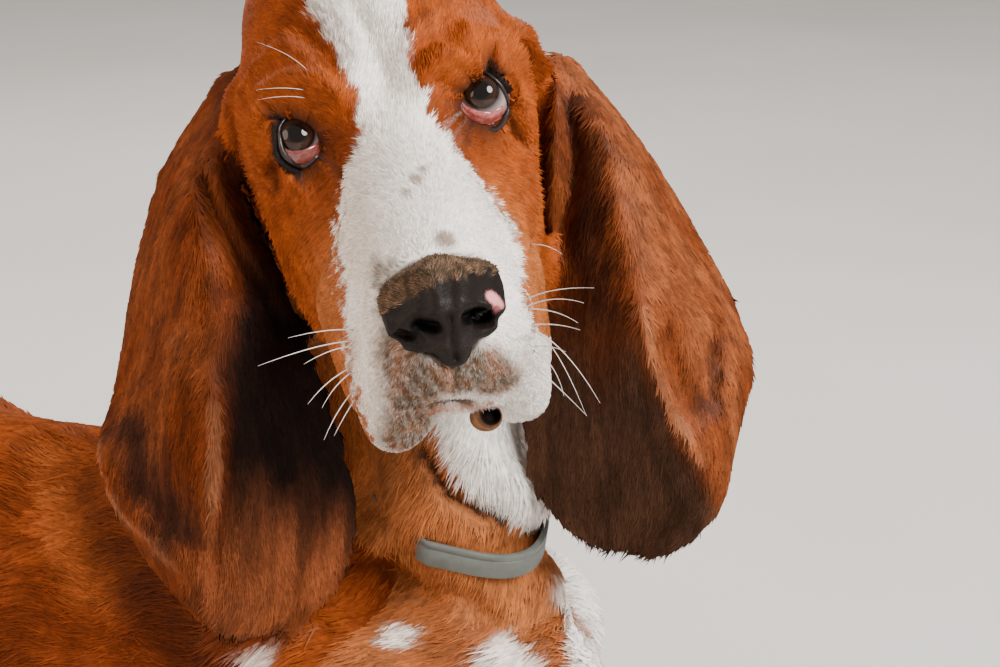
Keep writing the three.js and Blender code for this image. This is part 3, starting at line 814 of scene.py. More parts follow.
NOSE_FUR_RIGHT = (366, 378)
NOSE_FUR_LEFT = (512, 500)
BROW_TO_CROWN = (-34, -10)
BLAZE_ENDS = -90
CHEEK_TAN_FORWARD = (10, 50)
CHEEK_TAN_HEIGHT = (0, -30)
BELLY_HEIGHT = (52, 64)
CHEST_HEIGHT = (96, 84)
CHEST_ALONG = (-215, -240)
TAIL_TIP_ALONG = 455
DEWLAP_ALONG = (-176, -190)
DEWLAP_MIDDLE = 300
BIB_ALONG = (-150, -190)
BIB_HEIGHT = (235, 215)
NECK_TAN_ALONG = (-150, -200)
UNDER_NOSE_HEIGHT = -30
NOSE_FUR_HEIGHT = -20
NOSE_FUR_FORWARD = 70
PX_MM = EYES_AWAY / focal_px / MM

skin_triangles = triangles_of(skin.data)
skin_tree = tree_of(skin_points, skin_triangles)
skull_line = dropped(skin_tree, SKULL_DARK)
crease_line = dropped(skin_tree, DEWLAP_CREASE)
under_nose = dropped(skin_tree, UNDER_NOSE)
under_nose_left = dropped(skin_tree, UNDER_NOSE_LEFT)
chest_spots = [(dropped(skin_tree, [at]), size) for at, size in CHEST_SPOTS]
head_marks = [(dropped(skin_tree, [at]), size, 1.6, SPOT_BROWN, 0.75) for at, size in MUZZLE_SPOTS]
head_marks.append((dropped(skin_tree, MOUTH_LINE), 2.6, 1.4, DEEP_RED * 0.25, 0.9))
head_marks.append((dropped(skin_tree, LIP_LINE), 1.7, 1.2, LIP_PINK, 0.8))
# Painted shade along the grooves of the tear folds.
head_marks += [(dropped(skin_tree, line), 1.6, 1.8, CREASE_SHADE, 0.7) for line in TEAR_FOLD_SHADE_LINES]
nose_middle = middle("nose")


def band(points, line, half, soft):
    """One inside a band round a line and 0 outside, with a soft edge, in millimetres."""
    if len(line) == 0:
        return np.zeros(len(points))
    away = near_line(points, line if len(line) > 1 else np.vstack([line, line + 1e-5]))[0] / MM
    return 1 - smooth_step(half - soft, half + soft, away)


def blend_in(colour, other, amount):
    return colour * (1 - amount[:, None]) + other * amount[:, None]


class Ground:
    """What the colours depend on: where points are, what they belong to, and soft noise there."""

    def __init__(self, points, numbers):
        self.points = points
        self.numbers = numbers
        self.at = (points - np.array(shift)) / MM
        self.head = head_place(points)
        self.forward = -self.head[:, 1]
        self.across, self.down = picture_place(points)
        self.seen = seen_from_camera(points) / MM
        self.is_head = numbers == HEAD_NUMBER
        self.is_ear = np.isin(numbers, EAR_NUMBERS)
        self.is_neck = numbers == NECK_NUMBER
        self.is_body = ~self.is_head & ~self.is_ear
        self.ragged = 2.2 * ripple(self.head, 7, 1) + 1.3 * ripple(self.head, 3, 2)
        self.coarse = ripple(self.at, 70, 3)
        self.rough = 9 * ripple(self.at, 40, 5) + 4 * ripple(self.at, 14, 6)
        self.strand = ripple(self.at * np.array([1, 1, 0.16]), 7, 11)
        self.wide_strand = ripple(self.at * np.array([1, 1, 0.2]), 24, 12)
        self.hair_row = ripple(self.at * np.array([1, 0.25, 0.7]), 9, 13)
        self.loose = 2.5 * self.strand + 3.5 * self.wide_strand

    def all_of(self, colour):
        return np.repeat(colour[None], len(self.points), 0)

    def band(self, line, half, soft):
        return band(self.points, line, half, soft)

    def right_of(self, line):
        """How far points show to the right of a line in the picture, which is given as down, across."""
        return (self.across - np.interp(self.down, *zip(*line))) * PX_MM

    def stroke(self, line, half, soft):
        """One near a line of the picture and 0 away from it, with an edge broken up by the hair."""
        places = [((x - PICTURE[0] / 2) * PX_MM, (PICTURE[1] / 2 - y) * PX_MM, 0) for x, y in line]
        away = near_line(self.seen, places)[0] + 0.5 * self.loose
        return 1 - smooth_step(half - soft, half + soft, away)


def face_colour(g, colour):
    """Red-brown with tan cheeks, fine rows of hair and a darker place on each side of the blaze."""
    cheek_tan = smooth_step(*CHEEK_TAN_FORWARD, g.forward) * smooth_step(*CHEEK_TAN_HEIGHT, g.head[:, 2])
    face_row = ripple(g.head * np.array([1, 0.3, 0.5]), 5, 14)
    face = blend_in(colour, TAN, 0.75 * cheek_tan) * (1 + 0.16 * face_row)[:, None]
    beside = smooth_step(24, 8, np.abs(np.abs(g.head[:, 0]) - 24))
    beside = beside * smooth_step(26, 4, np.abs(g.head[:, 2] + 4))
    return blend_in(face, DEEP_RED, 0.55 * beside * smooth_step(20, 30, g.forward + 20))


def face_white(g):
    """The blaze, narrow on the brow and wide on the muzzle; behind the brow it is a plain stripe."""
    in_front = smooth_step(*BROW_TO_CROWN, g.forward)
    behind_brow = BLAZE_BEHIND - np.abs(g.head[:, 0] + 3)
    inside = in_front * np.minimum(g.right_of(BLAZE_LEFT), -g.right_of(BLAZE_RIGHT))
    inside = inside + (1 - in_front) * behind_brow
    white = smooth_step(-1.6, 1.6, inside + g.ragged) * (g.forward > BLAZE_ENDS)
    return np.where(g.is_head, white, 0)


def right_ear_colour(g):
    """Painted shade past the crest and in a valley, a browner lobe, painted highlights on rim and rear
    edge.
    """
    past_crest = g.right_of(RIGHT_EAR_CREST) + g.loose
    in_shade = smooth_step(-5, 9, past_crest) * (0.55 + 0.45 * smooth_step(*RIGHT_SHADE_DOWN, g.down))
    low_lobe = smooth_step(*RIGHT_LOBE_DOWN, g.down - 0.25 * (g.across - 250) + 3 * g.loose)
    ear = blend_in(g.all_of(EAR_MID), EAR_LIGHT, 0.25 + 0.25 * g.wide_strand)
    ear = blend_in(ear, EAR_SHADE * 2, 0.8 * g.stroke(RIGHT_EAR_VALLEY, 9, 7))
    ear = blend_in(ear, blend_in(g.all_of(EAR_SHADE), EAR_LOBE, low_lobe), in_shade)
    ear = blend_in(ear, EAR_RIM_HIGHLIGHT, 0.6 * g.stroke(RIGHT_EAR_RIM, 0.5, 1.4))
    return blend_in(ear, EAR_RIM_HIGHLIGHT, 0.5 * g.stroke(RIGHT_EAR_REAR, 0.8, 1.8))


def left_ear_colour(g):
    """Red-brown with painted light, painted shade in a groove and a valley, a brown lobe partly in painted
    shade, and a painted highlight on the rim.
    """
    before_crest = g.loose - g.right_of(LEFT_EAR_CREST)
    in_lobe = smooth_step(-3, 8, before_crest) * smooth_step(*LEFT_LOBE_DOWN, g.down + 6 * g.loose)
    ear = blend_in(g.all_of(EAR_MID), EAR_LIGHT, 0.5 + 0.35 * g.wide_strand)
    ear = blend_in(ear, EAR_SHADE * 3, 0.7 * g.stroke(LEFT_EAR_GROOVE, 7, 7))
    ear = blend_in(ear, EAR_BROWN, in_lobe)
    ear = blend_in(ear, EAR_SHADE * 3, 0.75 * g.stroke(LEFT_EAR_VALLEY, 4, 5))
    return blend_in(ear, EAR_RIM_HIGHLIGHT, 0.5 * g.stroke(LEFT_EAR_RIM, 1.4, 1.6))


def body_white(g):
    """White belly, feet, tail tip, chest, dewlap and bib, with ragged edges and pale chest spots."""
    y = g.at[:, 1]
    z = g.at[:, 2]
    belly = 1 - smooth_step(*BELLY_HEIGHT, z + g.rough)
    feet = np.array(["paw" in name for name in FLESH])[g.numbers] * 1.0
    tail_tip = (g.numbers == FLESH.index("tail")) & (y > TAIL_TIP_ALONG + g.rough)
    front = smooth_step(*CHEST_HEIGHT, z + g.rough) * smooth_step(*CHEST_ALONG, y)
    dewlap = smooth_step(-2, 2, g.right_of(DEWLAP_LEFT) + 0.2 * g.rough) * g.is_neck
    dewlap = dewlap * smooth_step(*DEWLAP_ALONG, y + 0.8 * g.rough + 0.12 * (z - DEWLAP_MIDDLE))
    bib = smooth_step(-4, 4, g.right_of(BIB_LEFT) + 0.5 * g.rough)
    bib = bib * smooth_step(*BIB_ALONG, y + g.rough) * smooth_step(*BIB_HEIGHT, z)
    white = np.maximum.reduce([belly, feet, tail_tip * 1.0, front, dewlap, bib])
    for centre, size in chest_spots:
        white = np.maximum(white, 0.8 * g.band(centre, size + 0.4 * g.rough, 4))
    return white


def body_colour(g, colour):
    """A tan neck; a trunk with darker rows of hair and darker low on the shoulder, partly painted shade;
    painted light on the flank and painted shade under the ear; a tan chest.
    """
    neck_tan = 0.4 + 0.6 * smooth_step(*NECK_TAN_ALONG, g.at[:, 1])
    colour = np.where(g.is_neck[:, None], blend_in(colour, TAN * 1.2, neck_tan), colour)
    trunk = g.is_body & ~g.is_neck
    # Darker lower on the shoulder, partly a darker coat and partly painted shade.
    coat_and_shade_tone = 0.12 + 0.4 * smooth_step(*SHOULDER_DOWN, g.down) + 0.22 * g.coarse + 0.3 * g.hair_row
    darker = blend_in(colour, DEEP_RED, np.clip(coat_and_shade_tone, 0, 1))
    colour = np.where(trunk[:, None], darker, colour)
    colour = blend_in(colour, LIT_RED, 0.65 * g.stroke(LIT_FLANK, 11, 10) * trunk)
    colour = blend_in(colour, DEEP_RED * 0.4, 0.75 * g.stroke(UNDER_EAR, 12, 12) * trunk)
    chest = g.is_body & (g.at[:, 1] < CHEST_ALONG[0])
    chest_tone = np.clip(0.45 + 0.5 * g.hair_row, 0, 1)
    tan_chest = blend_in(colour, TAN, np.full(len(colour), 0.55))
    return np.where(chest[:, None], blend_in(tan_chest, EAR_BROWN, 0.35 * chest_tone), colour)


def marked(g, colour):
    """Ticks under and over the nose, then spots, mouth, lip, painted shade in the tear folds and the dewlap
    crease, and a dark skull line.
    """
    ticks = 0.5 + 0.5 * ripple(g.head, 2.2, 10)
    patch = np.maximum(g.band(under_nose, 11.5, 5), g.band(under_nose_left, 9.5, 4))
    patch = patch * g.is_head * (g.head[:, 2] < UNDER_NOSE_HEIGHT)
    tick_colour = blend_in(g.all_of(GREY_BROWN), TAN, 0.20 + 0.22 * ripple(g.head, 9, 15))
    colour = blend_in(colour, tick_colour, np.clip(patch * (0.62 + 0.5 * ticks), 0, 1))
    nose_top = g.is_head & (g.head[:, 2] > NOSE_FUR_HEIGHT) & (g.forward > NOSE_FUR_FORWARD)
    nose_fur = smooth_step(*NOSE_FUR_DOWN, g.down + 2 * g.ragged) * nose_top
    nose_fur = nose_fur * smooth_step(*NOSE_FUR_RIGHT, g.across) * smooth_step(*NOSE_FUR_LEFT, g.across)
    colour = blend_in(colour, GREY_BROWN, nose_fur * (0.45 + 0.4 * ticks))
    for line, half, soft, tone, strength in head_marks:
        colour = blend_in(colour, tone, strength * g.band(line, half, soft) * g.is_head)
    # Painted shade in the dewlap's crease.
    colour = blend_in(colour, CREASE_SHADE, 0.9 * g.band(crease_line, 4.6, 3.2) * g.is_neck)
    skull = g.band(skull_line, 9, 5) * (0.5 + 0.5 * ripple(g.head, 2.5, 8)) * g.is_head
    return blend_in(colour, DEEP_RED * 0.7, skull * 0.6)


def coat_colour(points, numbers):
    """The coat's colour at points in metres, each with the number of the part that it belongs to."""
    g = Ground(points, numbers)
    depth_of_red = 0.3 * smooth_step(-0.3, 0.9, g.coarse) * (0.5 + 0.5 * ripple(g.at, 22, 4))
    colour = blend_in(g.all_of(RED), DEEP_RED, depth_of_red)
    colour = np.where(g.is_head[:, None], face_colour(g, colour), colour)
    ear = np.where((numbers == EAR_NUMBERS[0])[:, None], left_ear_colour(g), right_ear_colour(g))
    colour = np.where(g.is_ear[:, None], ear * (1 + 0.30 * g.strand)[:, None], colour)
    colour = body_colour(g, colour)
    # The whites turn warmer towards the dog's right side, away from the main light: painted warm shade,
    # broken up by soft noise.
    shade = 0.5 + 0.5 * ripple(g.head, 26, 9)
    pale = blend_in(g.all_of(WHITE), WHITE_IN_WARM_SHADE, 0.5 * shade * smooth_step(6, 30, -g.head[:, 0]))
    white = np.where(g.is_body, body_white(g), face_white(g))
    return np.clip(marked(g, blend_in(colour, pale, np.clip(white, 0, 1))), 0, 1)


lid = 1 - smooth_step(LID_DARK[0] * MM, LID_DARK[1] * MM, lid_away)
paint(skin.data, blend_in(coat_colour(skin_points, labels), LID_BLACK, lid))


def coat_finish(name, rough, bump_scale, bump_strength, gain):
    """A coat whose colour comes from the points, with a fine unevenness."""
    finish = Finish(name, Specular_IOR_Level=0.10)
    fine = finish.noise(bump_scale, 4, 0.6)
    tint = finish.attribute("coat")
    spread = finish.ramp(fine, [(0.25, (0.72 * gain,) * 3), (0.75, (1.12 * gain,) * 3)])
    finish.feed("Base Color", finish.mix(1.0, tint, spread, "MULTIPLY"))
    finish.feed("Roughness", rough + finish.noise(bump_scale * 0.3) * 0.15)
    finish.bump(fine, bump_strength, 0.0006)
    return finish


skin_finish = coat_finish("skin_under_fur", 0.62, 900, 0.5, 0.85)
fur_finish = coat_finish("short_fur", 0.5, 300, 0.0, 1.05)
wear(skin, skin_finish)
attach(skin, "root")
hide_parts(*FLESH)
only(skin)
bpy.ops.object.shade_smooth()

# %% [markdown]
# Fur this short would be a waste as curves: it is some 346,000 flat, closed, pointed tufts that lie
# along the coat. Each has a root in the skin, a thin ridge and a tip. The lie of the coat runs back
# from the nose, down the ears and neck, along the trunk and forwards on the feet. NEED says how
# much denser than on the trunk the tufts stand on a part.

# %% The lie and length of the coat
EXPORT_UV = "OFBake"
LENGTHS = {"head": 4.5, "ear_left": 6.5, "ear_right": 6.5, "neck": 9, "torso": 13, "tail": 13,
           "forepaw_left": 5, "forepaw_right": 5, "hindpaw_left": 5, "hindpaw_right": 5}
USUAL_LENGTH = 9
TUFTS = 340000
TUFTS_IN_PIECE = 48500
NEED = {"head": 5.6, "ear_left": 3.0, "ear_right": 3.0, "neck": 2.6, "forepaw_left": 1.6,
        "forepaw_right": 1.6, "hindpaw_left": 1.2, "hindpaw_right": 1.2}
TRUNK_LIE = np.array([0.0, 1.0, -0.35])
LIES = {"ear": (0.0, 0.12, -1.0), "neck": (0.0, 0.35, -1.0), "foreleg": (0.0, -1.0, -0.4),
        "forepaw": (0.0, -1.0, -0.4), "hindpaw": (0.0, -1.0, -0.3)}
CHEST_LIE = np.array([-0.55, 0.5, -0.35])
CHEST_LEFT_MORE = [0.9, 0, -0.5]


def coat_lie(points, normals, numbers):
    """The direction in which the hair lies, along the skin."""
    at = (points - np.array(shift)) / MM
    head = head_place(points)
    left, back, up = np.array(HEAD.to_3x3()).T
    sideways = np.clip(head[:, 0] / 40, -1, 1)
    down = np.clip(0.25 + 0.55 * np.abs(sideways) + smooth_step(-10, -50, head[:, 2]) * 0.8, 0, 1.4)
    on_brow = smooth_step(40, 0, np.abs(head[:, 1])) * (head[:, 2] > 8)
    head_lie = (back[None] - up[None] * (down * (head[:, 2] < 6))[:, None]
                + up[None] * (on_brow * 0.5)[:, None] + left[None] * (sideways * 0.45)[:, None])
    lie = np.zeros_like(points) + TRUNK_LIE
    for number, name in enumerate(FLESH):
        for start, way in LIES.items():
            if name.startswith(start):
                lie[numbers == number] = way
    is_head = numbers == HEAD_NUMBER
    lie[is_head] = head_lie[is_head]
    chest = (numbers == FLESH.index("torso")) & (at[:, 1] < -150)
    lie[chest] = (CHEST_LIE + np.outer(at[:, 0] > 30, CHEST_LEFT_MORE))[chest]
    for centre in eyes.values():
        out = points - np.array(centre)
        distance = np.linalg.norm(out, axis=1)
        near = smooth_step(30, 17, distance / MM)[:, None]
        lie = lie * (1 - near) + out / np.maximum(distance, 1e-6)[:, None] * near
    swirl = np.stack([ripple(at, 60, s) for s in (21, 22, 23)], 1)
    lie = lie + 0.30 * swirl
    lie -= normals * np.sum(lie * normals, 1)[:, None]
    return lie / np.maximum(np.linalg.norm(lie, axis=1), 1e-9)[:, None]


# %% [markdown]
# The nose is bare leather with a pebbled skin and a damp shine. A copy of its solid is remeshed
# finely and smoothed, the groove between its halves is pressed in, and one wing keeps a pink
# patch without pigment.

# %% Nose
NOSE_VOXEL = 1.1 * MM
NOSE_ROUNDS = 6
points, faces, _ = joined_copy(["nose"], 0.0)
nose = made("nose_leather", points, faces)
remeshed(nose, NOSE_VOXEL, NOSE_ROUNDS)
NOSE_LINES = {
    "groove": ([(450, 318), (452, 338), (456, 360)], 1.5, -2.6),
    "nostril_right": ([(419, 326), (426, 328), (433, 329)], 3.2, -9.0),
    "nostril_left": ([(470, 318), (477, 316), (484, 315)], 3.2, -9.0),
    "rim_right": ([(412, 318), (422, 314), (434, 317), (440, 326)], 1.8, 1.6),
    "rim_left": ([(465, 324), (464, 312), (474, 306), (486, 306)], 1.8, 1.6),
    "wing_right": ([(390, 318), (400, 336), (416, 348)], 3.0, 1.4),
    "wing_left": ([(498, 312), (492, 330), (476, 346)], 3.0, 1.2),
    "slit_right": ([(394, 334), (406, 336), (418, 331)], 1.5, -2.6),
    "slit_left": ([(486, 321), (494, 326), (502, 322)], 1.5, -2.6),
    "bridge_right": ([(428, 276), (436, 300)], 5.0, 1.6),
    "bridge_left": ([(468, 274), (464, 298)], 5.0, 1.6),
    "bridge_dip": ([(449, 270), (450, 306)], 3.0, -1.2),
}
PINK_PATCH = [(492, 297), (497, 306), (488, 313)]
FUR_EDGE_ACROSS = [380, 420, 440, 482, 505]
FUR_EDGE_DOWN = [312, 292, 280, 271, 268]
NOSE_BLACK = np.array([0.008, 0.005, 0.004])
NOSE_GREY = np.array([0.060, 0.038, 0.024])
NOSE_PINK = np.array([0.70, 0.27, 0.28])
NOSTRIL_SHADE = np.array([0.002, 0.0015, 0.0015])
nose_points = points_of(nose.data)
nose_tree = tree_of(nose_points, triangles_of(nose.data))
nose_normals = normals_of(nose.data)
towards = np.array((eye_point - Vector(nose_middle)).normalized())
for name, (places, wide, height) in NOSE_LINES.items():
    line = dropped(nose_tree, places)
    if len(line) < 2:
        print("nose line", name, "misses")
        continue
    away = near_line(nose_points, line)[0]
    facing = nose_normals @ towards > -0.2
    amount = height * MM * hill(away, wide) * facing
    nose_points = nose_points + (nose_normals * 0.5 + towards * 0.5) * amount[:, None]
set_points(nose.data, nose_points)
nose_head = head_place(nose_points)
nose_across, nose_down = picture_place(nose_points)
# The nostrils' hollows are painted near black, as shade.
hollow = np.zeros(len(nose_points))
for name in ("nostril_right", "nostril_left"):
    line = seen_from_camera(dropped(nose_tree, NOSE_LINES[name][0]))
    away = near_line(seen_from_camera(nose_points), line)[0] / MM
    hollow = np.maximum(hollow, 1 - smooth_step(2.4, 4.0, away))
pink = band(nose_points, dropped(nose_tree, PINK_PATCH), 2.6, 0.7)
fur_edge = np.interp(nose_across, FUR_EDGE_ACROSS, FUR_EDGE_DOWN)
top_fur = smooth_step(6, -6, nose_down - fur_edge + 5 * ripple(nose_head, 4, 31)) * 0.85
nose_tone = blend_in(np.repeat(NOSE_BLACK[None], len(nose_points), 0), NOSE_GREY, top_fur)
nose_tone = blend_in(nose_tone, NOSE_PINK, np.clip(pink, 0, 1))
paint(nose.data, blend_in(nose_tone, NOSTRIL_SHADE, hollow))
nose_finish = Finish("nose_leather_surface", Specular_IOR_Level=0.12, Coat_Weight=0.02,
                     Coat_Roughness=0.3)
pebble = nose_finish.node("ShaderNodeTexVoronoi", None,
                          {"Vector": nose_finish.place(), "Scale": 900.0}, output="Distance")
nose_finish.feed("Base Color", nose_finish.attribute("coat"))
nose_finish.feed("Roughness", 0.40 + pebble * 0.3)
nose_finish.bump(pebble, 0.35, 0.0003)
wear(nose, nose_finish)
only(nose)
bpy.ops.object.shade_smooth()
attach(nose, "root")
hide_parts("nose")

# %% [markdown]
# The export paints each tuft from one small patch, so each tuft's own map sits at its root's place
# on an unwrap of the skin: head, ears and trunk each have a chart for each of the six directions
# that their surface can face.

# %% Each tuft's place on the unwrap
CHART_COLUMNS = 6
CHART_ROWS = 3
PATCH = 0.003
MARGIN = 0.02
group_of = np.array([0 if n == "head" else 1 if n.startswith("ear") else 2 for n in FLESH])


def chart_place(points, normals, numbers):
    """Where each root lies on the unwrap, between 0 and 1."""
    facing = np.abs(normals).argmax(1)
    sign = (normals[np.arange(len(normals)), facing] > 0).astype(int)
    first = np.array([1, 0, 0])[facing]
    second = np.array([2, 2, 1])[facing]
    group = group_of[numbers]
    place = np.zeros((len(points), 2))
    for g in range(CHART_ROWS):
        these = group == g
        if not these.any():
            continue
        low, high = points[these].min(0), points[these].max(0)
        span = np.maximum(high - low, 1e-6)
        local = (points[these] - low) / span
        rows = np.arange(these.sum())
        u = local[rows, first[these]]
        v = local[rows, second[these]]
        column = facing[these] * 2 + sign[these]
        place[these, 0] = (column + MARGIN + u * (1 - 2 * MARGIN)) / CHART_COLUMNS
        place[these, 1] = (g + MARGIN + v * (1 - 2 * MARGIN)) / CHART_ROWS
    return place


# %% [markdown]
# Roots are strewn over the skin by chance, denser where the picture looks, and thinned out close to
# the lids and under the body. Each tuft takes its length, lie and colour from its root's place.

# %% Tufts
skin_normals = normals_of(skin.data)
skin_length = evened(np.array([LENGTHS.get(n, USUAL_LENGTH) for n in FLESH])[labels], 10)
head_skin = head_place(skin_points)
is_head_skin = labels == HEAD_NUMBER
muzzle = smooth_step(40, 90, -head_skin[:, 1]) * is_head_skin
skin_length *= 1 - 0.35 * muzzle
by_eyes = np.minimum(*[np.linalg.norm(skin_points - np.array(e), axis=1) for e in eyes.values()])
by_eyes = by_eyes / MM
skin_length *= 0.45 + 0.55 * smooth_step(14, 34, by_eyes)
skin_lie = coat_lie(skin_points, skin_normals, labels)
need = np.array([NEED.get(n, 1.0) for n in FLESH])[labels]
need = evened(need, 4)
need *= smooth_step(1.6 * MM, 4.0 * MM, lid_away)
in_view = np.einsum("ij,ij->i", skin_normals, np.array(eye_point) - skin_points) > 0
need *= np.where(in_view, 1.4, 0.75)
need *= np.where((skin_points - np.array(shift))[:, 2] < 5 * MM, 0.0, 1.0)

corners = skin_points[skin_triangles]
area = np.cross(corners[:, 1] - corners[:, 0], corners[:, 2] - corners[:, 0])
area = np.linalg.norm(area, axis=1) / 2
weight = area * need[skin_triangles].mean(1)
count = TUFTS
chosen = rng.choice(len(skin_triangles), size=count, p=weight / weight.sum())
a = rng.random(count)
b = rng.random(count)
flip = a + b > 1
a[flip] = 1 - a[flip]
b[flip] = 1 - b[flip]
share = np.stack([1 - a - b, a, b], 1)
tri = skin_triangles[chosen]


def at_roots(values):
    """The values of skin points, taken over to the roots."""
    values = values if values.ndim == 2 else values[:, None]
    out = np.einsum("ij,ijk->ik", share, values[tri])
    return out if out.shape[1] > 1 else out[:, 0]


roots = at_roots(skin_points)
root_normals = at_roots(skin_normals)
root_normals /= np.linalg.norm(root_normals, axis=1)[:, None]
root_labels = labels[tri[:, 0]]
lie = at_roots(skin_lie)
lie += 0.16 * rng.normal(size=lie.shape)
lie -= root_normals * np.sum(lie * root_normals, 1)[:, None]
lie /= np.linalg.norm(lie, axis=1)[:, None]
length = at_roots(skin_length) * rng.uniform(0.7, 1.3, count) * MM
lift = rng.uniform(0.08, 0.26, count)
width = np.clip(length * 0.085, 0.42 * MM, 1.15 * MM) * rng.uniform(0.8, 1.25, count)
tuft_colour = coat_colour(roots, root_labels)
tuft_lid = 1 - smooth_step(*LID_DARK, at_roots(lid_away) / MM)
tuft_colour = blend_in(tuft_colour, LID_BLACK, tuft_lid)
tuft_colour *= rng.uniform(0.72, 1.28, count)[:, None]

# The fur that laps over the top of the nose
NOSE_TUFTS = 6000
NOSE_FUR = np.array([0.30, 0.17, 0.10])
nose_triangles = triangles_of(nose.data)
nose_skin = points_of(nose.data)
furry = top_fur[nose_triangles].mean(1) > 0.3
nose_corners = nose_skin[nose_triangles]
nose_area = np.linalg.norm(np.cross(nose_corners[:, 1] - nose_corners[:, 0],
                                    nose_corners[:, 2] - nose_corners[:, 0]), axis=1) * furry
picked = rng.choice(len(nose_triangles), size=NOSE_TUFTS, p=nose_area / nose_area.sum())
spread = rng.dirichlet((1, 1, 1), NOSE_TUFTS)
nose_roots = np.einsum("ij,ijk->ik", spread, nose_corners[picked])
nose_up = np.einsum("ij,ijk->ik", spread, normals_of(nose.data)[nose_triangles[picked]])
nose_up /= np.linalg.norm(nose_up, axis=1)[:, None]
nose_labels = np.full(NOSE_TUFTS, HEAD_NUMBER)
nose_lie = coat_lie(nose_roots, nose_up, nose_labels) + 0.25 * rng.normal(size=nose_roots.shape)
nose_lie /= np.linalg.norm(nose_lie, axis=1)[:, None]
nose_mix = 0.5 + 0.6 * ripple(head_place(nose_roots), 6, 33) + 0.3 * rng.normal(size=NOSE_TUFTS)
nose_mix = np.clip(nose_mix, 0, 1)
nose_tone = blend_in(np.repeat(GREY_BROWN[None] * 0.5, NOSE_TUFTS, 0), NOSE_FUR, nose_mix * 0.7)
roots = np.vstack([roots, nose_roots])
root_normals = np.vstack([root_normals, nose_up])
root_labels = np.append(root_labels, nose_labels)
lie = np.vstack([lie, nose_lie])
length = np.append(length, rng.uniform(1.6, 3.0, NOSE_TUFTS) * MM)
lift = np.append(lift, rng.uniform(0.1, 0.25, NOSE_TUFTS))
width = np.append(width, np.full(NOSE_TUFTS, 0.4 * MM))
tuft_colour = np.vstack([tuft_colour, nose_tone * rng.uniform(0.6, 1.4, (NOSE_TUFTS, 1))])
count += NOSE_TUFTS
place = chart_place(roots, root_normals, root_labels)
print(count, "tufts,", 4 * count, "triangles")


TUFT_FACES = np.array([[0, 1, 2], [0, 2, 3], [1, 3, 2], [0, 3, 1]])
ROOT_TO_TIP = np.array([0.72, 0.72, 1.0, 1.12])


def fur_piece(name, which):
    """Closed tufts of four triangles each: a flat root triangle, a ridge and a tip."""
    n = len(which)
    root, up, way = roots[which], root_normals[which], lie[which]
    side = np.cross(up, way)
    w = width[which][:, None]
    l = length[which][:, None]
    rise = lift[which][:, None]
    sunk = root - up * 0.5 * MM
    points = np.stack([
        sunk + side * w / 2,
        sunk - side * w / 2,
        root + way * l * 0.35 + up * (w * 0.55 + l * rise * 0.5),
        root + way * l + up * l * rise * 0.55,
    ], 1)
    base = np.arange(n)[:, None] * 4
    faces = (base[:, None] + TUFT_FACES[None]).reshape(-1, 3)
    mesh = bpy.data.meshes.new(name)
    mesh.vertices.add(4 * n)
    mesh.vertices.foreach_set("co", points.astype(np.float32).ravel())
    mesh.loops.add(12 * n)
    mesh.loops.foreach_set("vertex_index", faces.astype(np.int32).ravel())
    mesh.polygons.add(4 * n)
    mesh.polygons.foreach_set("loop_start", np.arange(0, 12 * n, 3, dtype=np.int32))
    mesh.polygons.foreach_set("use_smooth", np.ones(4 * n, dtype=bool))
    mesh.update(calc_edges=True)
    layer = mesh.uv_layers.new(name=EXPORT_UV)
    spot = np.repeat(place[which], 12, axis=0)
    corner = np.tile(np.array([[0, 0], [PATCH, 0], [0, PATCH]]), (4 * n, 1))
    layer.data.foreach_set("uv", (spot + corner).astype(np.float32).ravel())
    tone = np.repeat(tuft_colour[which][:, None, :], 4, axis=1)
    paint(mesh, (tone * ROOT_TO_TIP[None, :, None]).reshape(-1, 3))
    piece = bpy.data.objects.new(name, mesh)
    bpy.context.collection.objects.link(piece)
    shade = np.repeat(up, 4, axis=0) + 0.25 * np.repeat(way, 4, axis=0)
    shade /= np.linalg.norm(shade, axis=1)[:, None]
    mesh.normals_split_custom_set_from_vertices(shade.tolist())
    wear(piece, fur_finish)
    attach(piece, "root")


order = np.argsort(group_of[root_labels], kind="stable")
for k, start in enumerate(range(0, count, TUFTS_IN_PIECE)):
    fur_piece(f"fur_{k + 1}", order[start:start + TUFTS_IN_PIECE])

# %% [markdown]
# The eyeball is a sphere, bulging a little at the iris. Iris and pupil are painted by how far each
# place is from the line of sight, and a clear coat gives the wet film.

# %% Eyes
IRIS_HALF = math.radians(39)
PUPIL_HALF = math.radians(19)
SIGHT_AIM = {"left": (481, 90), "right": (297, 133)}
EYE_SEGMENTS = 96
CORNEA_RISE = 0.9 * MM
EYE_STREAK = (0.012, 0.006, 0.004, 1)


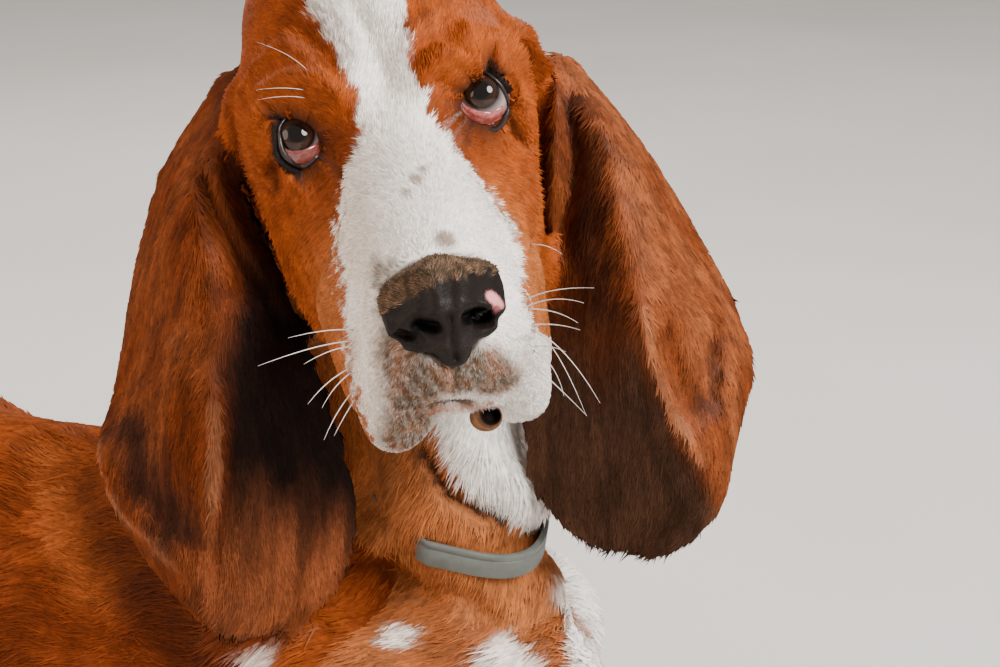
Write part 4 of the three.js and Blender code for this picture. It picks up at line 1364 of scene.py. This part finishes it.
def eye_finish(side, centre, sight):
    """An iris and a pupil about the line of sight, with streaks that run out from it."""
    finish = Finish(f"eye_{side}_surface", Roughness=0.05, Coat_Weight=0.12, Coat_Roughness=0.02,
                    Specular_IOR_Level=0.28)
    spin = sight.rotation_difference(Vector((0, 0, 1))).to_euler()
    centred = finish.node("ShaderNodeVectorMath", {"operation": "SUBTRACT"},
                          {0: finish.place(), 1: tuple(centre)})
    aligned = finish.node("ShaderNodeVectorRotate", {"rotation_type": "EULER_XYZ"},
                          {"Vector": centred, "Rotation": tuple(spin)})
    split_up = finish.tree.nodes.new("ShaderNodeSeparateXYZ")
    put(finish.tree, split_up.inputs[0], aligned)
    x, y = [Value(finish.tree, split_up.outputs[i]) for i in (0, 1)]
    out = (x * x + y * y).math("SQRT") * (1 / EYE_RADIUS)
    angle = y.math("ARCTAN2", x)
    streaks = finish.node("ShaderNodeTexNoise", {"noise_dimensions": "1D"},
                          {"W": angle * 9.0, "Scale": 3.0, "Detail": 4.0}, output="Fac")
    pupil = math.sin(PUPIL_HALF)
    iris = math.sin(IRIS_HALF)
    rings = finish.ramp(out, [
        (pupil - 0.02, (0.002, 0.0015, 0.0015)), (pupil + 0.03, (0.016, 0.007, 0.004)),
        (iris - 0.12, (0.030, 0.012, 0.006)), (iris - 0.02, (0.004, 0.003, 0.003)),
        (iris + 0.04, (0.11, 0.08, 0.08)), (0.86, (0.40, 0.32, 0.32)), (1.0, (0.30, 0.14, 0.13))])
    finish.feed("Base Color", finish.mix(streaks * 0.5, rings, EYE_STREAK))
    return finish


for side, centre in eyes.items():
    bpy.ops.mesh.primitive_uv_sphere_add(segments=EYE_SEGMENTS, ring_count=EYE_SEGMENTS // 2,
                                         radius=EYE_RADIUS, location=centre)
    ball = bpy.context.object
    ball.name = f"eyeball_{side}"
    bpy.ops.object.transform_apply(location=True, rotation=True, scale=True)
    sight = (ball_hit(centre, EYE_RADIUS, ray(*SIGHT_AIM[side])) - centre).normalized()
    points = points_of(ball.data)
    way = (points - np.array(centre)) / EYE_RADIUS
    bulge = smooth_step(math.cos(IRIS_HALF * 1.15), 1.0, way @ np.array(sight))
    set_points(ball.data, points + way * (CORNEA_RISE * bulge)[:, None])
    bpy.ops.object.shade_smooth()
    wear(ball, eye_finish(side, centre, sight))
    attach(ball, "root")
    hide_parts(f"eye_{side}")

# %% [markdown]
# A dark rim of bare skin runs round each eye's opening, thicker below. Inside the loose lower lid
# shows its pink lining, the haw: a closed sheet bent from the ball down to the rim.

# %% Lid rims and haws
# The haw of the eye turned from the light is darkened as painted shade.
HAW_SHADE_GAIN = {"left": 0.95, "right": 0.42}
HAWS = {
    "left": [(460, 99), (466, 106), (478, 111), (491, 112), (503, 105)],
    "right": [(283, 148), (292, 151), (304, 149), (316, 143), (325, 137)],
}
HAW_COLUMNS = 25
HAW_ROWS = 9
HAW_WALL = 1.2 * MM
HAW_TONES = [(0.3, (0.22, 0.028, 0.022)), (0.55, (0.40, 0.10, 0.085)), (0.8, (0.56, 0.25, 0.23))]
RIM_AHEAD = 2.4 * MM
RIM_RADIUS = (0.75 * MM, 1.35 * MM)
RIM_STEPS = 72
RIM_SIDES = 8
RIM_TONES = [(0.3, (0.006, 0.004, 0.004)), (0.8, (0.035, 0.020, 0.018))]
LOWER_LID = 0.35


def haw_finish(side, gain):
    """Wet pink flesh; on the eye turned from the light it is darkened as painted shade."""
    finish = Finish(f"haw_flesh_{side}", Roughness=0.22, Coat_Weight=0.7, Coat_Roughness=0.08,
                    Subsurface_Weight=0.25, Subsurface_Scale=0.003)
    veins = finish.noise(420, 5, 0.65)
    tones = [(at, tuple(gain * part for part in tone)) for at, tone in HAW_TONES]
    finish.feed("Base Color", finish.ramp(veins, tones))
    finish.bump(veins, 0.3, 0.0004)
    return finish


def before_ball(centre, place, ahead):
    """A point seen at the given place, the given way in front of the eyeball or of its limb."""
    direction = ray(*place)
    hit = ball_hit(centre, EYE_RADIUS, direction)
    return np.array(eye_point + direction * ((hit - eye_point).length - ahead))


def rim_mesh(centre, outline, lowness, out_way):
    """A closed tube along an opening's outline, as points and faces."""
    aheads = RIM_AHEAD * (0.5 + 0.5 * lowness)
    path = np.array([before_ball(centre, p, ahead) for p, ahead in zip(outline, aheads)])
    points = []
    for i in range(RIM_STEPS):
        ahead = path[(i + 1) % RIM_STEPS] - path[i - 1]
        first = np.cross(ahead / np.linalg.norm(ahead), out_way)
        radius = RIM_RADIUS[0] + (RIM_RADIUS[1] - RIM_RADIUS[0]) * lowness[i]
        points += circle(path[i], first, out_way, radius, RIM_SIDES)
    return points, tube_faces(0, RIM_STEPS, RIM_SIDES, closed=True)


def haw_mesh(centre, top, lid, out_way):
    """A bent sheet with a wall, from its upper edge to the lower lid, as points and faces."""
    points = []
    for c in range(HAW_COLUMNS):
        t = c / (HAW_COLUMNS - 1)
        first = np.array([np.interp(t, np.linspace(0, 1, len(top)), top[:, m]) for m in (0, 1)])
        last_x = first[0] + (0.5 - t) * 3
        last = np.array([last_x, np.interp(last_x, lid[:, 0], lid[:, 1])])
        last[1] = max(last[1], first[1] + 1)
        for r in range(HAW_ROWS):
            k = r / (HAW_ROWS - 1)
            swell = 0.7 * MM * math.sin(math.pi * k) + 0.25 * MM * math.sin(9 * k)
            ahead = 0.1 * MM + RIM_AHEAD * k ** 1.5 + swell
            points.append(before_ball(centre, first * (1 - k) + last * k, ahead))
    n = len(points)
    points += [p - out_way * HAW_WALL for p in points]
    faces = []
    for c in range(HAW_COLUMNS - 1):
        for r in range(HAW_ROWS - 1):
            here = c * HAW_ROWS + r
            q = [here, here + HAW_ROWS, here + HAW_ROWS + 1, here + 1]
            faces += [q, [v + n for v in reversed(q)]]
    border = [c * HAW_ROWS for c in range(HAW_COLUMNS)]
    border += [(HAW_COLUMNS - 1) * HAW_ROWS + r for r in range(1, HAW_ROWS)]
    border += [c * HAW_ROWS + HAW_ROWS - 1 for c in reversed(range(HAW_COLUMNS - 1))]
    border += list(reversed(range(1, HAW_ROWS - 1)))
    for v, w in zip(border, border[1:] + border[:1]):
        faces.append([v, w, w + n, v + n])
    return points, faces


rim_finish = Finish("lid_rim", Roughness=0.3, Specular_IOR_Level=0.4)
rim_noise = rim_finish.noise(700, 3)
rim_finish.feed("Base Color", rim_finish.ramp(rim_noise, RIM_TONES))
rim_finish.bump(rim_noise, 0.3, 0.0003)
for side, edge in HAWS.items():
    centre = eyes[side]
    out_way = np.array((eye_point - centre).normalized())
    outline = smooth_closed(OPENINGS[side], RIM_STEPS)
    lowness = smooth_step(outline[:, 1].min() + 18, outline[:, 1].max() - 6, outline[:, 1])
    rim = made(f"lid_rim_{side}", *rim_mesh(centre, outline, lowness, out_way))
    outward(rim)
    wear(rim, rim_finish)
    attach(rim, "root")

    lid = outline[lowness > LOWER_LID]
    lid = lid[np.argsort(lid[:, 0])]
    haw = made(f"haw_{side}", *haw_mesh(centre, np.array(edge, float), lid, out_way))
    outward(haw)
    wear(haw, haw_finish(side, HAW_SHADE_GAIN[side]))
    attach(haw, "root")

# %% [markdown]
# The collar is a plain moulded band. Its solid already follows the neck, so the finer band takes
# its path from it: rays from outside find the solid's outer face, and the neck's skin where that
# stands further out. A rounded section with a fine groove is carried round the path. At the front
# the band hangs a little lower and further out, and at the dog's right, where loose skin hangs
# over it in the picture, it is sunk.

# %% Collar
BAND_WIDTH = 13.5 * MM
BAND_THICK = 3.4 * MM
BAND_STEPS = 160
BAND_OUT = 0.6 * MM
NECK_CLEAR = 2.0 * MM
FROM_OUTSIDE = 0.3
WAVES_KEPT = 9
SECTION = [(-1.0, -0.30), (-1.0, -0.72), (-0.94, -0.95), (-0.86, -1.0), (-0.2, -1.0), (0.45, -1.0),
           (0.52, -0.86), (0.59, -1.0), (0.86, -1.0), (0.94, -0.95), (1.0, -0.72), (1.0, -0.30),
           (0.9, 0.0), (-0.9, 0.0)]
FRONT_DROP = 5.5 * MM
FRONT_OUT = 1.5 * MM
SUNK_DEPTH = 17 * MM
SHOWS_FROM = (400, 428)
COLLAR_TONES = [(0.3, (0.085, 0.095, 0.086)), (0.7, (0.125, 0.137, 0.124))]
collar_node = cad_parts["collar"]
collar_points = points_of(collar_node.data)
collar_middle = collar_points.mean(0)
_, _, axes = np.linalg.svd(collar_points - collar_middle, full_matrices=False)
collar_axis = axes[2] * np.sign(axes[2][2])
side_way = np.cross([1.0, 0, 0], collar_axis)
side_way /= np.linalg.norm(side_way)
across_way = np.cross(collar_axis, side_way)
collar_tree = tree_of(collar_points, triangles_of(collar_node.data))
neck_only = np.all(labels[skin_triangles] == NECK_NUMBER, axis=1)
neck_tree = tree_of(points_of(skin.data), skin_triangles[neck_only])
to_camera = np.array((eye_point - Vector(collar_middle)).normalized())


def collar_way(i):
    """The direction out of the collar's middle at a step of its path."""
    angle = 2 * math.pi * i / BAND_STEPS
    return across_way * math.cos(angle) + side_way * math.sin(angle)


def reach(tree, way):
    """How far out a surface lies in a direction, or nothing where it is missed."""
    hit = tree.ray_cast(Vector(collar_middle + way * FROM_OUTSIDE), Vector(-way))[0]
    return None if hit is None else (np.array(hit) - collar_middle) @ way


path_radius = np.zeros(BAND_STEPS)
for i in range(BAND_STEPS):
    way = collar_way(i)
    on_solid = reach(collar_tree, way)
    path_radius[i] = path_radius[i - 1] if on_solid is None else on_solid
    on_neck = reach(neck_tree, way)
    if on_neck is not None:
        path_radius[i] = max(path_radius[i], on_neck + NECK_CLEAR)
spectrum = np.fft.rfft(path_radius)
spectrum[WAVES_KEPT:] = 0
path_radius = np.fft.irfft(spectrum, BAND_STEPS)
points = []
for i in range(BAND_STEPS):
    way = collar_way(i)
    front = smooth_step(-0.3, 0.6, way @ to_camera)
    shown_at = picture_place([collar_middle + way * path_radius[i]])[0][0]
    sunk = (1 - smooth_step(*SHOWS_FROM, shown_at)) * smooth_step(-0.15, 0.25, way @ to_camera)
    outer = path_radius[i] + BAND_OUT + FRONT_OUT * front - SUNK_DEPTH * sunk
    for rise, depth_in in SECTION:
        r = outer - BAND_THICK * (1 + depth_in)
        along_axis = rise * BAND_WIDTH / 2 - FRONT_DROP * front
        points.append(collar_middle + way * r + collar_axis * along_axis)
collar = made("collar_band", points, tube_faces(0, BAND_STEPS, len(SECTION), closed=True))
outward(collar)
bpy.ops.object.shade_smooth_by_angle(angle=math.radians(40))
collar_finish = Finish("collar_rubber", Specular_IOR_Level=0.4)
mottle = collar_finish.noise(90, 4, 0.6)
grain = collar_finish.noise(1500, 2, 0.5)
collar_finish.feed("Base Color", collar_finish.ramp(mottle, COLLAR_TONES))
collar_finish.feed("Roughness", 0.45 + mottle * 0.2)
collar_finish.bump(grain, 0.15, 0.0002)
wear(collar, collar_finish)
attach(collar, "root")
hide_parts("collar")

# %% [markdown]
# Under the front lip, to the dog's left, the loose lower lip makes a small pocket with a brown rim. It is a
# ball pressed in at the front. Its hollow is painted near black as shade, and its rim's brown is partly
# painted shade.

# %% Lip pocket
POCKET_AT = (486, 417)
POCKET_LIP = (478, 404)
POCKET_RADII = np.array([6.8, 6.0, 6.0]) * MM
POCKET_BEHIND_LIP = 7 * MM
POCKET_HOLE = 7.5 * MM
POCKET_MOUTH = np.array([0.36, 0.16, 0.92])
POCKET_HOLLOW_SHADE = np.array([0.006, 0.003, 0.002])
lip_hit = skin_tree.ray_cast(eye_point, ray(*POCKET_LIP))[0]
pocket_away = (lip_hit - eye_point).length + POCKET_BEHIND_LIP
pocket_middle = eye_point + ray(*POCKET_AT) * pocket_away
bpy.ops.mesh.primitive_uv_sphere_add(segments=48, ring_count=32, radius=1.0)
pocket = bpy.context.object
pocket.name = "lip_pocket"
unit = points_of(pocket.data)
in_mouth = unit @ POCKET_MOUTH
shape = unit * POCKET_RADII
shape[:, 2] -= smooth_step(0.70, 0.95, in_mouth) * POCKET_HOLE
set_points(pocket.data, shape @ np.array(look.to_3x3()).T + np.array(pocket_middle))
# The rim's grey-brown is partly the lip's colour and partly painted shade; the hollow is painted near black
# as shade.
pocket_tone = np.repeat((0.25 * TAN + 0.75 * GREY_BROWN)[None], len(unit), 0)
pocket_tone = pocket_tone * (1 + 0.25 * ripple(unit * 10, 5, 40))[:, None]
paint(pocket.data, blend_in(pocket_tone, POCKET_HOLLOW_SHADE, smooth_step(0.42, 0.84, in_mouth)))
bpy.ops.object.shade_smooth()
wear(pocket, skin_finish)
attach(pocket, "root")

# %% [markdown]
# Whiskers are stiff white hairs that leave the lips and brows and droop a little. Each is a tapered
# closed tube from its root on the skin, bent towards where its tip shows in the picture.

# %% Whiskers
WHISKERS = {
    "lip_left": [((522, 302), (548, 286), (594, 288)), ((524, 308), (552, 293), (584, 303)),
                 ((528, 309), (556, 308), (578, 323)), ((532, 325), (556, 322), (580, 330)),
                 ((532, 329), (566, 344), (600, 403)), ((534, 330), (556, 340), (586, 415)),
                 ((536, 346), (552, 345), (566, 352)), ((534, 351), (556, 362), (564, 396)),
                 ((534, 366), (556, 384), (587, 416)), ((530, 245), (545, 242), (562, 254))],
    "lip_right": [((352, 330), (326, 328), (288, 338)), ((352, 341), (318, 343), (258, 366)),
                  ((352, 347), (334, 346), (304, 364)), ((350, 368), (326, 380), (308, 404)),
                  ((352, 372), (334, 384), (322, 408)), ((354, 390), (336, 410), (324, 440)),
                  ((356, 398), (346, 412), (334, 436))],
    "brow_right": [((304, 90), (284, 86), (256, 90)), ((306, 98), (284, 94), (258, 100)),
                   ((308, 71), (290, 52), (256, 42))],
}
WHISKER_ROOT = 0.34 * MM
BROW_SHARE = 0.42
WHISKER_SIDES = 6
WHISKER_STEPS = 12
WHISKER_TONES = [(0.3, (0.62, 0.55, 0.50)), (0.7, (0.85, 0.80, 0.76))]
OUT_OF_SKIN = {"lip_left": 14, "lip_right": 12, "brow_right": 9}
INWARD = range(0, 40, 3)
FACE_AWAY = EYES_AWAY * 1.02


def root_of(place, lean):
    """Where a whisker leaves the face, looked for further in if its drawn root misses the face."""
    for inward in INWARD:
        hit = skin_tree.ray_cast(eye_point, ray(place[0] + lean * inward, place[1]))[0]
        if hit is not None and (hit - eye_point).length < FACE_AWAY:
            break
    return hit


def whisker_mesh(start, root, bend, tip, thickness):
    """A tapered closed tube from root to tip, as points and faces that begin at a point's number."""
    points = []
    for s in range(WHISKER_STEPS + 1):
        t = s / WHISKER_STEPS
        at = root * (1 - t) ** 2 + bend * (2 * t * (1 - t)) + tip * t ** 2
        ahead = ((bend - root) * (1 - t) + (tip - bend) * t).normalized()
        first = ahead.cross(Vector((0, 0, 1))).normalized()
        points += circle(at, first, ahead.cross(first), thickness * (1 - 0.85 * t), WHISKER_SIDES)
    faces = tube_faces(start, WHISKER_STEPS + 1, WHISKER_SIDES, closed=False)
    last = start + WHISKER_STEPS * WHISKER_SIDES
    faces.append([start + k for k in reversed(range(WHISKER_SIDES))])
    faces.append([last + k for k in range(WHISKER_SIDES)])
    return points, faces


points = []
faces = []
for family, hairs in WHISKERS.items():
    lean = 1 if family.endswith("right") else -1
    thickness = WHISKER_ROOT * (BROW_SHARE if family.startswith("brow") else 1.0)
    grow = OUT_OF_SKIN[family] * MM
    for root_px, bend_px, tip_px in hairs:
        root = root_of(root_px, lean)
        if root is None:
            continue
        far = (root - eye_point).length
        bend = eye_point + ray(*bend_px) * (far - grow)
        tip = eye_point + ray(*tip_px) * (far - 1.6 * grow)
        more_points, more_faces = whisker_mesh(len(points), root, bend, tip, thickness)
        points += more_points
        faces += more_faces
whiskers = made("whiskers", points, faces)
outward(whiskers)
whisker_finish = Finish("whisker_hair", Roughness=0.35, Specular_IOR_Level=0.5)
tinge = whisker_finish.noise(60, 2)
whisker_finish.feed("Base Color", whisker_finish.ramp(tinge, WHISKER_TONES))
wear(whiskers, whisker_finish)
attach(whiskers, "root")
print(len(faces), "whisker faces")

# %% [markdown]
# Four blunt dark claws stand out of each foot, one at each toe. One is modelled as a bent cone, and
# copies of its points are set at the toes.

# %% Claws
CLAW_LENGTH = 16 * MM
CLAW_RADIUS = 4.4 * MM
CLAW_TIP = 1.1 * MM
CLAW_BEND = 3.2 * MM
CLAW_FORWARD = 55
MIDDLE_FORWARD = 6
CLAW_HEIGHT = 12
CLAW_TONES = [(0.35, (0.055, 0.038, 0.030)), (0.7, (0.19, 0.145, 0.115))]
bpy.ops.mesh.primitive_cone_add(vertices=16, radius1=CLAW_RADIUS, radius2=CLAW_TIP, depth=CLAW_LENGTH)
pattern = bpy.context.object
bpy.ops.object.mode_set(mode="EDIT")
bpy.ops.mesh.subdivide(number_cuts=3)
bpy.ops.object.mode_set(mode="OBJECT")
claw_points = points_of(pattern.data)
claw_faces = [list(f.vertices) for f in pattern.data.polygons]
bpy.data.objects.remove(pattern)
along = claw_points[:, 2] / CLAW_LENGTH + 0.5
drop = claw_points[:, 1] - CLAW_BEND * along ** 2
claw_shape = np.stack([claw_points[:, 0], -claw_points[:, 2], drop], 1)
points = []
faces = []
for x, y in PAWS.values():
    for sign in (1, -1):
        for k in TOE_STEPS:
            forward = CLAW_FORWARD + MIDDLE_FORWARD * (1.5 - abs(k))
            at = Vector((sign * (x + k * TOE_SPACING), y - forward, CLAW_HEIGHT)) * MM + shift
            base = len(points)
            points += [tuple(p + np.array(at)) for p in claw_shape]
            faces += [[v + base for v in f] for f in claw_faces]
claws = made("claws", points, faces)
outward(claws)
claw_finish = Finish("claw_horn", Specular_IOR_Level=0.5)
streak = claw_finish.noise(160, 4, 0.6)
claw_finish.feed("Base Color", claw_finish.ramp(streak, CLAW_TONES))
claw_finish.feed("Roughness", 0.32 + streak * 0.2)
claw_finish.bump(streak, 0.2, 0.0003)
wear(claws, claw_finish)
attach(claws, "root")

# %% [markdown]
# A pale floor, a soft light from the upper right of the camera, a weak warm one from the left, as
# if thrown back by a wall, and one from behind that lights the rims of the ears.

# %% Floor and light
FLOOR_SIDE = 12.0
FLOOR_TONES = [(0.3, (0.66, 0.62, 0.58)), (0.7, (0.74, 0.71, 0.68))]
SKY_TINT = (0.97, 0.94, 0.91, 1)
SKY_STRENGTH = 0.55
bpy.ops.mesh.primitive_plane_add(size=FLOOR_SIDE, location=(0, 0, -0.5 * MM))
floor = bpy.context.object
floor.name = "floor"
floor_finish = Finish("pale_floor", Roughness=0.8)
cloud = floor_finish.noise(1.5, 3)
floor_finish.feed("Base Color", floor_finish.ramp(cloud, FLOOR_TONES))
wear(floor, floor_finish)


def soft_light(name, across, up, away, size, power, tint):
    """An area light placed as seen from the camera, aimed at the head."""
    lamp = bpy.data.lights.new(name, "AREA")
    lamp.shape = "DISK"
    lamp.size = size
    lamp.energy = power
    lamp.color = tint
    lamp_object = bpy.data.objects.new(name, lamp)
    bpy.context.collection.objects.link(lamp_object)
    basis = Matrix.Rotation(GAZE_YAW, 3, "Z")
    at = eye_middle + basis @ Vector((across, away, up))
    lamp_object.location = at
    lamp_object.rotation_euler = (eye_middle - at).to_track_quat("-Z", "Y").to_euler()


soft_light("porch", 1.3, 1.3, -1.3, 1.2, 112, (1.0, 0.98, 0.95))
soft_light("wall", -1.8, 0.6, -0.9, 1.6, 30, (1.0, 0.84, 0.70))
soft_light("rim", -0.4, 1.6, 1.6, 1.4, 40, (1.0, 0.97, 0.93))
world = bpy.data.worlds.new("sky")
world.use_nodes = True
world.node_tree.nodes["Background"].inputs[0].default_value = SKY_TINT
world.node_tree.nodes["Background"].inputs[1].default_value = SKY_STRENGTH
bpy.context.scene.world = world

# %% [markdown]
# At the end, nothing is left selected.

# %% The end
bpy.ops.object.select_all(action="DESELECT")
